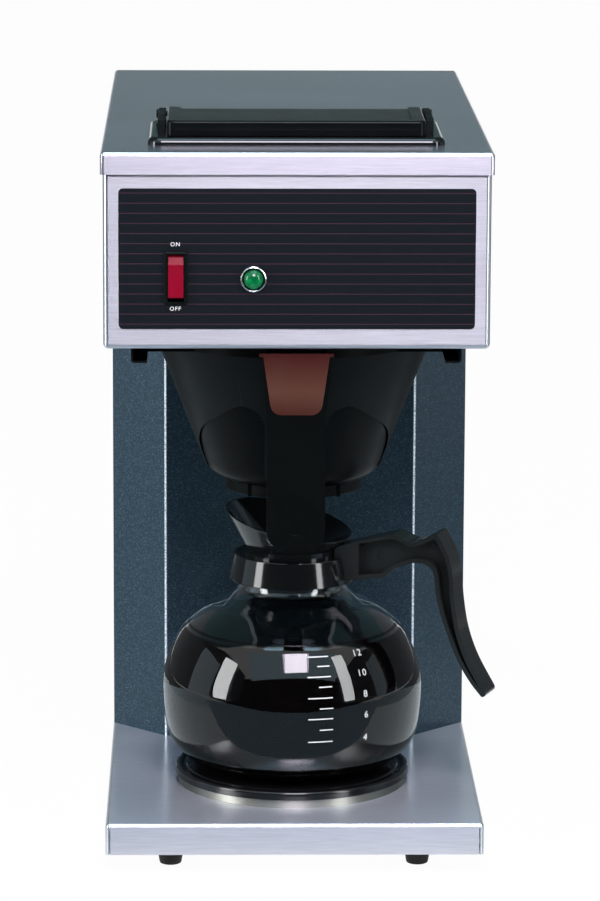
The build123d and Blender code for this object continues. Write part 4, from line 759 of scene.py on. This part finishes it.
# %% Switch frame
switch = block("switch_frame", (-73.3, -60.1), (-2.2, -0.4), (326.7, 356.1))
round_edges(switch, from_front, 1.4)
round_edges(switch, lambda p, d: p.y < -2.19 and abs(d.y) < 0.5, 0.8, 3)
carve(switch, block("body", (-72.3, -61.1), (-1.0, 24), (327.7, 355.1)), "UNION")
cut_box(switch, (-71.25, -62.15), (-3, 9), (328.12, 354.68))
blade = block("blade", (-69.2, -64.2), (23, 30), (333.0, 333.8))
join(switch, blade, copied(blade, z=16))
hand_over(switch, "machine", "black_plastic", black_plastic, "switch_housing")

# %% Rocker cap
TILT = radians(11)
PIN_Y, PIN_Z = 4, 341.4


def on_rocker(depth, rise, x=-70.9):
    """A place on the tilted rocker, from its pin, behind or in front and above or below."""
    return at(x, PIN_Y + depth * cos(TILT) + rise * sin(TILT), PIN_Z - depth * sin(TILT) + rise * cos(TILT))


front_line = smooth_line([(-4.4, -11.3), (-5.4, -6), (-6.6, 0), (-7.6, 5), (-7.6, 6.8), (-6.3, 11.3)], 4)
cap_line = [*front_line, (-5.6, 11.9), (-1, 11.9), (4, 4), (4, -4), (-1, -11.9), (-3.8, -11.9)]
rocker = slab("rocker_cap", [on_rocker(*spot) for spot in cap_line], Vector((0.0084, 0, 0)))
round_edges(rocker, lambda p, d: abs(d.x) > 0.9 and p.y < 3 and abs(p.z - PIN_Z) > 11, 1.0)
soften(rocker, 0.5, 40, 3)
join(rocker, rod("pin", at(-72.1, PIN_Y, PIN_Z), at(-61.3, PIN_Y, PIN_Z), 1.2, 24))
hand_over(rocker, "rocker", "rocker_red", rocker_red, "rocker")


# %% Lamp ring and jewel
def turned_lamp(name, line):
    """A part of the lamp, spun round the lamp's axis from radius and y values."""
    spots = [at(LAMP_X + radius, y, LAMP_Z) for radius, y in line]
    return lathe(name, spots, 64, at(LAMP_X, 0, LAMP_Z), (0, 1, 0))


bezel_line = [
    (6.15, -2.4), (6.3, -2.7), (6.6, -2.8), (7.05, -2.55), (7.25, -2.1), (7.3, -1.3), (7.3, -0.4),
    (5.2, -0.4), (5.2, 20), (4.25, 20), (4.25, -1.3), (6.15, -1.3), (6.15, -2.4),
]
hand_over(turned_lamp("bezel_ring", bezel_line), "machine", "chrome", chrome, "lamp_bezel")
lens_line = [
    (0, -6), (1.4, -5.9), (2.8, -5.5), (3.9, -4.9), (4.8, -4.0), (5.3, -3.2), (5.4, -2.3), (6.1, -2.1),
    (6.1, -1.4), (4.2, -1.4), (4.2, 2.6), (0, 2.6),
]
hand_over(turned_lamp("jewel_lens", lens_line), "machine", "lens_green", jewel, "lamp_lens", angle=40)

# %% [markdown]
# ## The fill basin
# Cold water is poured in through the lid. The basin is one glossy moulding: a rim on the lid with a rolled
# nose, a tub below it, and two ears that hold the cover's hinge. The rim is a rounded block, the tub is
# added, and the well is cut through both.

# %% Basin moulding
basin = block("basin_moulding", (-82.5, 82.5), (25.7, 111), (LID_TOP, 415.5))
round_edges(basin, upright, 8, 8)
round_edges(basin, lambda p, d: p.z > 415.4 and abs(d.z) < 0.5, 3.6, 6)
tub = block("tub", (-64, 64), (35, 90), (383, 412))
round_edges(tub, upright, 6, 5)
carve(basin, tub, "UNION")
well = block("well", (-62, 62), (37, 88), (385, 420))
round_edges(well, upright, 4)
carve(basin, well)
drill(basin, (0, 62.5, 380), (0, 62.5, 388), 4.5)
hand_over(basin, "machine", "gloss_black", gloss_black, "fill_basin")

# %% Hinge ears
HINGE_Y, HINGE_Z = 103, 419.5
ear_line = [
    (54.2, 414.5), (55.4, 421.8), (56.6, 422.8), (103.4, 422.8), (105.6, 422.1), (106.6, 420.6),
    (107.6, 414.5),
]
ear = side_slab("hinge_ears", ear_line, -77.1, 4.2)
soften(ear, 0.3, 40)
drill(ear, (-78.1, HINGE_Y, HINGE_Z), (-71.1, HINGE_Y, HINGE_Z), 1.55, 24)
join(ear, copied(ear, x=150))
hand_over(ear, "machine", "gloss_black", dull_black, "fill_basin")

# %% [markdown]
# ## The fill cover
# The cover is a hollow flap with a rounded front and sides, and a shallow dish between raised side borders.
# It turns on two knuckles that stand between the ears.

# %% Fill flap
flap = block("fill_flap", (-71.9, 71.9), (32, 97), (415.8, 424.2))
round_edges(flap, lambda p, d: abs(d.z) > 0.5 and p.y < 33, 4.0, 5)
round_edges(flap, lambda p, d: p.z > 424.1 and abs(d.z) < 0.5 and p.y < 96.9, 1.5)
cut_box(flap, (-68, 68), (30, 32.7), (419.5, 420.3))
dish = block("dish", (-64.5, 64.5), (37, 100), (423.1, 427))
round_edges(dish, lambda p, d: abs(d.z) > 0.5 and p.y < 38, 2)
carve(flap, dish)
soften(flap, 0.35, 50)
cut_box(flap, (-70.1, 70.1), (33.8, 95.2), (410, 421.2))
for inner, outer in ((-71.9, -63.9), (63.9, 71.9)):
    knuckle = rod("knuckle", at(inner, HINGE_Y, HINGE_Z), at(outer, HINGE_Y, HINGE_Z), 3.0, 32)
    carve(knuckle, block("web", (inner, outer), (96, HINGE_Y), (416.6, 422.4)), "UNION")
    drill(knuckle, (inner - 1, HINGE_Y, HINGE_Z), (outer + 1, HINGE_Y, HINGE_Z), 1.55, 24)
    join(flap, knuckle)
hand_over(flap, "fill_cover", "gloss_black", flap_black, "fill_cover")

# %% [markdown]
# ## The brew cone
# The cone is three mouldings. The bowl holds the filter and drips through its nozzle, and its flange slides
# in the rails. The skirt round it has an arched window on each side of the strap. Both are turned on the
# lathe, and the windows are cut through the front of the skirt.

# %% Bowl
FLANGE_LOW, FLANGE_TOP = 293.2, 298
bowl_line = rings(
    (3.5, 211.3), (3.5, 196.5), (9.6, 196.5), (10.6, 196.9), (11, 198), (11, 209), (37.2, 211), (37.6, 210.6),
    (37.6, 205.4), (38.0, 205.0), (39.2, 205.0), (39.6, 205.4), (39.6, 211.2), (41.8, 212), (43.6, 212.7),
    (45.6, 213.9), (47.6, 215.5), (49, 217.2), (49.9, 219.2), (51.2, 222), (54.6, 232), (58.4, 242),
    (62.1, 252), (65.4, 262), (75.6, FLANGE_LOW), (81.2, FLANGE_LOW), (81.2, FLANGE_TOP), (75.1, FLANGE_TOP),
    (36.6, 214), (3.5, 211.3),
)
bowl = lathe("bowl_moulding", bowl_line, 96)
wings = block("wings", (-90.2, 90.2), (40, 156), (FLANGE_LOW, FLANGE_TOP))
drill(wings, (0, BREW_Y, 290), (0, BREW_Y, 300), 81.1, 96)
for foot_x in ((-26.4, -24.0), (24.0, 26.4)):
    carve(bowl, block("foot", foot_x, (66.6, 70), (204.6, 212.6)), "UNION")
join(bowl, wings)
hand_over(bowl, "brew_cone", "black_plastic", bowl_black, "brew_bowl")

# %% Skirt
skirt_line = rings((50.2, 218), (79.34, FLANGE_LOW), (76.94, FLANGE_LOW), (47.8, 218), (50.2, 218))
skirt = lathe("skirt_moulding", skirt_line, 128)
arch_points = [
    (17, 250), (19.2, 256), (22.5, 260), (27, 261.8), (31, 262.2), (36.5, 259.5), (42.5, 254.6),
    (48.2, 250), (52.5, 244.5), (54, 238), (53.4, 231), (50.5, 222), (46.5, 212),
]
window_line = [(17, 212), *smooth_line(arch_points, 4)]
for side in (-1, 1):
    carve(skirt, front_slab("window", [(side * x, z) for x, z in window_line], 0, BREW_Y))
soften(skirt, 0.45, 50)
hand_over(skirt, "brew_cone", "black_plastic", black_plastic, "cone_skirt")

# %% [markdown]
# ## The cone's strap and its tab
# A strap runs down the front of the skirt and ends in a thumb paddle with a shallow round mark. Its outline
# is pulled back into a plate, the paddle is made deeper, and two side walls reach back to the skirt, where
# a cone cuts them to fit. A coloured tab is let into its upper end.


# %% Strap
def rounded_foot(half, height, radius, steps):
    """The two lower corners of an outline of x and z values, about centres at plus and minus half."""
    right = corner((half, height), radius, 0, -90, steps)
    return [*right, *corner((-half, height), radius, -90, -180, steps)]


paddle_foot = rounded_foot(7.2, 196.2, 9, 6)
strap = front_slab("strap_handle", [(-16.2, 262), (-21, 298), (21, 298), (16.2, 262), *paddle_foot], 6, 3.6)
carve(strap, front_slab("paddle", [(-16.2, 221), (16.2, 221), *paddle_foot], 6.2, 8.8), "UNION")
wall_line = [(6.3, 219), (15, 219), (19, 230), (58, 240), (58, 297.9), (6.3, 297.9)]
for wall_x in (-16.15, 13.8):
    carve(strap, side_slab("wall", wall_line, wall_x, 2.35), "UNION")
seat_line = rings((0, 206), (45.7, 206), (79.54, 293.1), (81.4, 293.1), (81.4, 301), (0, 301))
carve(strap, lathe("seat", seat_line, 128))
drill(strap, (0, 0, 206), (0, 6.6, 206), 11, 64)
recess_line = [(-14.7, 268), (-18.7, 299), (18.7, 299), (14.7, 268), *rounded_foot(8.6, 269.2, 6, 5)]
carve(strap, front_slab("recess", recess_line, 0, 8.3))
cut_box(strap, (-23, 23), (0, 8.3), (296, 300))
soften(strap, 0.7, 40, 3)
hand_over(strap, "brew_cone", "black_plastic", strap_black, "cone_handle")

# %% Tab
tab_line = [
    (-14.4, 268), (-18.4, 296.2), (-20.6, 296.2), (-20.6, 298), (20.6, 298), (20.6, 296.2), (18.4, 296.2),
    (14.4, 268), *rounded_foot(8.4, 269.4, 6, 5),
]
tab = front_slab("strap_tab", tab_line, 5.7, 2.4)
soften(tab, 0.4, 40)
hand_over(tab, "brew_cone", "tab_brown", tab_brown, "handle_insert")

# %% [markdown]
# ## The carafe
# The globe is blown glass with an even wall, so its outer and inner lines are drawn together and spun once.
# The coffee is spun from the same inner line, a hair into the glass, so that no air shows between the two.

# %% Globe
outer_points = [
    (40, 40.2), (52.5, 42), (65.2, 49.4), (72.8, 62.2), (75.3, 87.2), (72.6, 102.7), (65.2, 118.6),
    (58.6, 126), (53, 131), (47, 135.4), (40.6, 139), (36, 141.6), (32.8, 144.4), (31, 147.6), (30.4, 151),
]
outer_line = smooth_line(outer_points, 5)
inner_points = [
    (28.2, 151), (28.8, 147), (31, 143), (34.7, 139.7), (39.5, 136.9), (45.8, 133.5), (51.7, 129.2),
    (57.1, 124.4), (63.4, 117.4), (70.4, 102), (73.1, 87), (70.7, 63.1), (63.7, 51.1), (51.7, 44.2),
    (39, 42.4),
]
inner_line = smooth_line(inner_points, 5)
lip = [(30.4, 163.4), (30.1, 163.9), (29.3, 164.2), (28.5, 163.9), (28.2, 163.4)]
globe = lathe("globe_glass", rings((0, 40.2), *outer_line, *lip, *inner_line, (0, 42.4)), 96)
hand_over(globe, "carafe", "glass", glass, "carafe_glass", angle=60)

# %% Coffee
COFFEE_LEVEL = 123
wet_line = [(radius + 0.03, height - 0.03) for radius, height in inner_line if height < COFFEE_LEVEL - 0.2]
coffee_line = rings((0, COFFEE_LEVEL), (57, COFFEE_LEVEL), (58.6, 123.4), *wet_line, (0, 42.37))
hand_over(lathe("brew_in_glass", coffee_line, 96), "carafe", "coffee", coffee_liquid, "coffee", angle=50)

# %% [markdown]
# ## The collar, the funnel and the grip
# A plastic collar holds the neck, and a funnel plugs into it with a slanted rim, lowest over the grip. The
# funnel and the grip are made straight along X about the origin and turned to the grip's direction
# afterwards.

# %% Collar
collar_line = rings(
    (36.4, 150.6), (36.75, 151.0), (36.6, 152), (33.9, 165), (33.5, 165.5), (33, 165.6), (30.8, 165.6),
    (30.8, 161.6), (34.1, 150.6), (36.4, 150.6),
)
hand_over(lathe("neck_collar", collar_line, 96), "carafe", "gloss_black", gloss_black, "collar_band")

# %% Funnel
ORIGIN = Vector((0, 0, 0))


def local(x, z, y=0.0):
    """A place near the origin in millimetres, before a piece is turned to the grip's direction."""
    return Vector((x / 1000, y / 1000, z / 1000))


def set_along_grip(piece):
    """Turn a piece made along X to the grip's direction on the brewing axis, and keep that in its mesh."""
    take(piece)
    piece.rotation_euler = (0, 0, -HANDLE_ANGLE)
    piece.location = brew_axis
    bpy.ops.object.transform_apply(location=True, rotation=True, scale=True)


funnel_line = [
    (17, 141), (27.4, 141), (27.9, 141.5), (27.9, 164.3), (30.4, 164.3), (30.4, 165.6), (28.2, 165.6),
    (28.2, 169.4), (37.1, 182.5), (37.4, 183.1), (37.1, 183.5), (36.5, 183.6), (35.9, 183.3), (21, 170),
    (17, 169), (17, 141),
]
RIM_SLANT, RIM_SHIFT = -0.2289, (-0.0025, 0, 0.00058)
funnel = lathe("funnel_moulding", [local(r, z) for r, z in funnel_line], 96, ORIGIN)
open_up(funnel)
pick(funnel, "VERT", lambda p, d: p.z > 181)
bpy.ops.transform.rotate(value=RIM_SLANT, orient_axis="Y", center_override=(0, 0, 0.183))
bpy.ops.transform.translate(value=RIM_SHIFT)
put_down()
rim = [v.co for v in funnel.data.vertices if v.co.z > 0.172]
back_height, grip_height = (round(1000 * max(rim, key=lambda c: side * c.x).z, 1) for side in (-1, 1))
print("the rim is at", back_height, "mm behind and at", grip_height, "mm over the grip")
set_along_grip(funnel)
hand_over(funnel, "carafe", "gloss_black", gloss_black, "pour_funnel")

# %% [markdown]
# The grip is an I-section: a web with a rib all round it. The outer outline is pulled to 17 mm, a pocket is
# cut into each side up to the web, and the root is cut to fit the collar.

# %% Grip
grip_top = [(64.1, 182.5), (70, 180.2), (76, 178.3), (82.5, 181), (88.7, 184.7)]
grip_back = [
    (90.9, 184.4), (93.8, 179.8), (98.2, 171), (100.6, 160), (101.7, 146), (104.8, 128.4), (110.8, 112.4),
    (120.7, 95.4),
]
grip_end = [(121.2, 94.1), (121.0, 92.9), (120.2, 92.0), (119.2, 91.6)]
grip_front = [
    (118.4, 91.8), (112.4, 98.6), (107, 106.4), (101.8, 116), (94.4, 134.7), (90.6, 149), (89.4, 158.6),
    (87.6, 163.8), (83.2, 166.6), (76.6, 166.7),
]
grip_line = [
    (28.6, 153.6), (28.6, 172.2), *smooth_line(grip_top, 7), *smooth_line(grip_back, 7), *grip_end,
    *smooth_line(grip_front, 7), (66.5, 163.1), (58.5, 156.6), (40.2, 153.6),
]
grip = slab("grip", [local(x, z, -8.5) for x, z in grip_line], Vector((0, 0.017, 0)))
pocket_top = [(64.4, 180), (70, 177.8), (76, 175.9), (82.5, 178.4), (89.4, 181.9)]
pocket_back = [
    (91.6, 178.7), (95.8, 170.3), (98.2, 159.7), (99.3, 145.8), (102.5, 127.7), (108.6, 111.5),
    (117.6, 96.2),
]
pocket_front = [
    (114.2, 100.1), (109.1, 107.5), (104, 117.1), (96.7, 135.4), (93, 149.4), (91.9, 159.6), (89.4, 166),
    (84.4, 169), (76.2, 169.1),
]
pocket_line = [(43.5, 157), (43.5, 175.4)]
for curve in (pocket_top, pocket_back, pocket_front):
    pocket_line += smooth_line(curve, 7)
pocket_line += [(65.3, 165.3), (57.5, 159)]
for side in (-1, 1):
    pocket = slab("pocket", [local(x, z, side * 2.2) for x, z in pocket_line], Vector((0, side * 0.012, 0)))
    carve(grip, pocket)
root_line = [
    (0, 149.6), (37.0, 150.6), (33.9, 165.6), (28.5, 165.6), (28.5, 169.4), (37.4, 177), (37.4, 192),
    (0, 192),
]
carve(grip, lathe("root_seat", [local(r, z) for r, z in root_line], 96, ORIGIN))
carve(grip, rod("dimple", local(55, 168, -6), local(55, 168, -1.4), 2.4, 32))
soften(grip, 0.5, 40, 3)
set_along_grip(grip)
hand_over(grip, "carafe", "gloss_black", grip_black, "carafe_handle")

# %% [markdown]
# ## The warmer
# The warmer is an enamelled disc whose rim rolls down over a stainless ring. A shallow groove runs inside
# the rim.

# %% Warmer plate and ring
plate_line = rings(
    (0, 38.4), (66.3, 38.4), (66.3, 35.2), (66.6, 35), (67.7, 35), (68, 35.3), *corner((66, 38), 2, 0, 90, 6),
    (64.4, 40), (63.9, 39.7), (63.4, 39.2), (62.6, 39.1), (61.8, 39.2), (61.3, 39.7), (60.8, 40), (0, 40),
)
hand_over(lathe("hot_plate", plate_line, 128), "machine", "enamel", enamel, "warmer_plate")
ring_line = rings(
    (59, 30), (66.0, 30), (66.2, 30.4), (66.2, 38.3), (61.2, 38.3), (61.2, 37.4), (65.2, 37.4), (65.2, 31),
    (59, 31), (59, 30),
)
hand_over(lathe("hot_plate_ring", ring_line, 128), "machine", "stainless", ring_steel, "warmer_ring")

# %% [markdown]
# ## Printed words and marks
# The switch needs its two words, and a carafe like this one carries a scale of cups. Each is a film of
# white ink, so it is made as a real thin layer just off the surface. Words start as text and become a mesh
# before they are placed. A mark on the globe is a short upright line, spun a few degrees round the brewing
# axis.

# %% Lettering
# A capital is 0.69 of the text's size, which is in metres.
CAPITAL_PER_SIZE = 690


def lettering(name, words, height, facing, place):
    """Words with capitals of a height in millimetres, as a thin mesh that faces a way from a place."""
    put_down()
    bpy.ops.object.text_add(location=(0, 0, 0))
    text = bpy.context.object.data
    set_all(text, body=words, size=height / CAPITAL_PER_SIZE, space_character=1.2, extrude=0.00002)
    set_all(text, resolution_u=3, align_x="CENTER", align_y="CENTER")
    bpy.ops.object.convert(target="MESH")
    ink = bpy.context.object
    set_all(ink, name=name, rotation_euler=facing, location=place)
    bpy.ops.object.transform_apply(location=True, rotation=True, scale=True)
    return ink


upper_word = lettering("switch_words", "ON", 2.2, (pi / 2, 0, 0), at(-67.0, -0.43, 360.0))
lower_word = lettering("lower_word", "OFF", 2.2, (pi / 2, 0, 0), at(-67.0, -0.43, 324.2))
join(upper_word, lower_word)
hand_over(upper_word, "machine", None, print_white)


# %% Scale on the globe
def globe_radius(height):
    """The globe's outer radius at a height, read between the points of its outer line."""
    for (low_radius, low), (high_radius, high) in zip(outer_line, outer_line[1:]):
        if low <= height <= high:
            return low_radius + (high_radius - low_radius) * (height - low) / (high - low)
    return 0.0


def on_globe(height, bearing, off=0.06):
    """A place just off the globe at a height and at a bearing in degrees, where -90 is the front."""
    reach = globe_radius(height) + off
    return at(reach * cos(radians(bearing)), BREW_Y + reach * sin(radians(bearing)), height)


TICK_BEARING, NUMBER_BEARING = -73, -57
# Each pair is a number of cups, or 0 for a mark without one, and its height in millimetres.
levels = ((4, 71), (0, 78), (6, 84.5), (0, 90.5), (8, 96.5), (0, 102.5), (10, 108), (0, 113.5), (12, 118.5))
marks = []
for cups, height in levels:
    tick = [on_globe(height + half, TICK_BEARING) for half in (-0.3, 0.3)]
    mark = lathe("cup_scale", tick, 8, angle=radians(11 if cups else 6))
    thicken(mark, 0.04)
    weld(mark)
    marks.append(mark)
    if cups:
        rise = atan2(globe_radius(height - 1) - globe_radius(height + 1), 2)
        facing = (pi / 2 - rise, 0, radians(90 + NUMBER_BEARING))
        marks.append(lettering("number", str(cups), 3.8, facing, on_globe(height, NUMBER_BEARING, 0.2)))
join(*marks)
hand_over(marks[0], "carafe", None, print_white)

# %% [markdown]
# ## Parts kept from the frame
# Sheets, rails, screws and the inner water parts already have their right shape, so they stay and only get
# their finishes.

# %% Finishes for the kept parts
kept = {
    inner_steel: "base_cover_plate element_clamp water_tank tank_cover tank_brackets tank_heater fill_tube "
    "outlet_tube spray_head filter_basket",
    zinc: "foot_screws base_screws rear_screws lid_screws rail_screws handle_screw",
    insulator: "warmer_element terminal_block thermostat",
    rail_paint: "head_floor left_basket_rail right_basket_rail",
    black_plastic: "cord_bushing cover_pins",
    panel_paint: "rear_panel",
    bulb_glass: "lamp_bulb",
}
for material, names in kept.items():
    for name in names.split():
        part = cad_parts[name]
        part.data.materials.clear()
        part.data.materials.append(material)
    print(material.name, "is on", names)

# %% [markdown]
# ## The studio
# The photograph has a white floor and background, a large soft light on each side in front, and one above.
# Steel, glass and black plastics show what they mirror more than their own colour, so cards stand where the
# real ones stood: dark in front, grey at the sides and behind, bluish on the floor near the brewer, and
# bright overhead. The cards are stage pieces that the camera doesn't see and that cast no shadow.


# %% Floor and background
def shown_white(owner, background):
    """This much white for camera, mirror and glass rays, which see the background, and none for others."""
    rays = add_node(owner, "LightPath").outputs
    seen = maths(owner, "MAXIMUM", rays["Is Camera Ray"], rays["Is Glossy Ray"])
    seen = maths(owner, "MAXIMUM", seen, rays["Is Transmission Ray"])
    return maths(owner, "MULTIPLY", seen, background)


def surface(material, shader):
    """Make a shader node the material's surface."""
    output = material.node_tree.nodes["Material Output"]
    material.node_tree.links.new(shader.outputs[0], output.inputs["Surface"])


FLOOR_SHOWN, WORLD_LEVEL = 0.96, 0.45
put_down()
bpy.ops.mesh.primitive_plane_add(size=24, location=(0, 0, 0))
floor = bpy.context.object
floor.name = "studio_floor"
floor_white = start_finish("floor_white", (0.9, 0.9, 0.9), 0.9)
floor_matt = floor_white.node_tree.nodes["Principled BSDF"].outputs[0]
floor_glow = add_node(floor_white, "Emission", {"Strength": 1.0}).outputs[0]
floor_share = shown_white(floor_white, FLOOR_SHOWN)
surface(floor_white, add_node(floor_white, "MixShader", {0: floor_share, 1: floor_matt, 2: floor_glow}))
floor.data.materials.append(floor_white)

world = bpy.context.scene.world or bpy.data.worlds.new("studio_world")
bpy.context.scene.world = world
world.use_nodes = True
sky = world.node_tree.nodes["Background"]
sky.inputs["Color"].default_value = (1, 1, 1, 1)
sky_level = spread(world, shown_white(world, 1.0), WORLD_LEVEL, 1.0, 0.0, 1.0)
world.node_tree.links.new(sky_level, sky.inputs["Strength"])
print("the floor and the background are white")


# %% Cards
def card(name, middle, aim, size, colour, strength):
    """A stage card that only mirrors and glass see, and that faces its aim, or lies facing up without one."""
    put_down()
    way = Vector(aim) - Vector(middle) if aim else Vector((0, 0, 1))
    bpy.ops.mesh.primitive_plane_add(size=1, location=middle, rotation=way.to_track_quat("Z", "Y").to_euler())
    panel = bpy.context.object
    set_all(panel, name=name, scale=(*size, 1))
    set_all(panel, visible_camera=False, visible_diffuse=False, visible_shadow=False)
    bpy.ops.object.transform_apply(location=False, rotation=False, scale=True)
    paint = start_finish(name + "_paint", colour, 1.0)
    surface(paint, add_node(paint, "Emission", {"Color": (*colour, 1), "Strength": strength}))
    panel.data.materials.append(paint)


focus = (0, 0, 0.2)
dim, floor_blue, near_white = (0.5, 0.55, 0.6), (0.72, 0.9, 1.0), (0.85, 0.95, 1.0)
# Each row is a card's name, middle, aim, size, colour and strength.
cards = [
    ("front_wall", (0, -3.3, 1.15), (0, 0, 1.15), (9.0, 2.3), dim, 0.04),
    ("far_floor", (0, -1.95, 0.004), None, (9.0, 2.7), dim, 0.04),
    ("near_floor", (0, -0.41, 0.003), None, (1.6, 0.38), (0.50, 0.70, 0.85), 0.6),
    ("back_card", (0, 1.6, 2.2), focus, (8.0, 5.0), (0.34, 0.60, 0.64), 0.2),
    ("left_card", (-1.8, 0.1, 0.3), focus, (1.2, 1.4), (0.72, 0.86, 0.96), 0.95),
    ("right_card", (1.8, 0.0, 0.3), focus, (1.0, 1.4), floor_blue, 0.6),
    ("sky_card", (0, -1.80, 1.85), focus, (3.6, 1.3), (0.62, 0.86, 0.96), 1.3),
    ("overhead_card", (0.08, -1.66, 1.72), focus, (0.85, 0.85), (1.0, 0.88, 1.12), 7.6),
    ("ceiling_card", (0, -0.42, 2.5), (0, -0.3, 0.42), (1.8, 1.4), (0.58, 0.86, 1.04), 3.8),
]
for side, name, far_strength in ((-1, "left", 0.8), (1, "right", 0.5)):
    cards += [
        (name + "_wall", (side * 3.4, -0.9, 1.3), (0, -0.9, 1.3), (4.6, 2.5), dim, 0.12),
        (name + "_floor", (side * 0.25, 0.06, 0.003), None, (0.28, 0.55), near_white, 0.9),
        (name + "_far_floor", (side * 0.79, 0.0, 0.003), None, (0.8, 0.5), floor_blue, far_strength),
        (name + "_back_floor", (side * 0.6, 0.75, 0.003), None, (1.0, 1.0), dim, 0.2),
        (name + "_back_wall", (side * 1.25, 1.0, 0.5), (0, 0, 0.5), (1.7, 1.0), dim, 0.25),
    ]
for row in cards:
    card(*row)
print(len(cards), "cards stand in front, behind, above and at both sides")


# %% Lights
def lamp(name, place, width, height, power, colour):
    """A soft rectangular light that points at the brewer."""
    put_down()
    turn_to = (Vector(focus) - Vector(place)).to_track_quat("-Z", "Y").to_euler()
    bpy.ops.object.light_add(type="AREA", location=place, rotation=turn_to)
    light = bpy.context.object
    light.name = name
    set_all(light.data, shape="RECTANGLE", size=width, size_y=height, energy=power, color=colour)


lamp("left_softbox", (-1.9, -0.89, 0.68), 0.55, 1.3, 26, (0.98, 0.99, 1.0))
lamp("right_softbox", (1.56, -1.4, 0.9), 0.4, 1.7, 22, (0.97, 0.99, 1.0))
lamp("top_softbox", (0.08, -1.64, 1.69), 0.7, 0.85, 26, (1.0, 0.95, 1.0))
print("three soft lights")

# %% [markdown]
# ## Colour
# The picture uses the standard view, so a colour renders as it is written.

# %% View
bpy.context.scene.view_settings.view_transform = "Standard"
put_down()
bpy.context.view_layer.update()
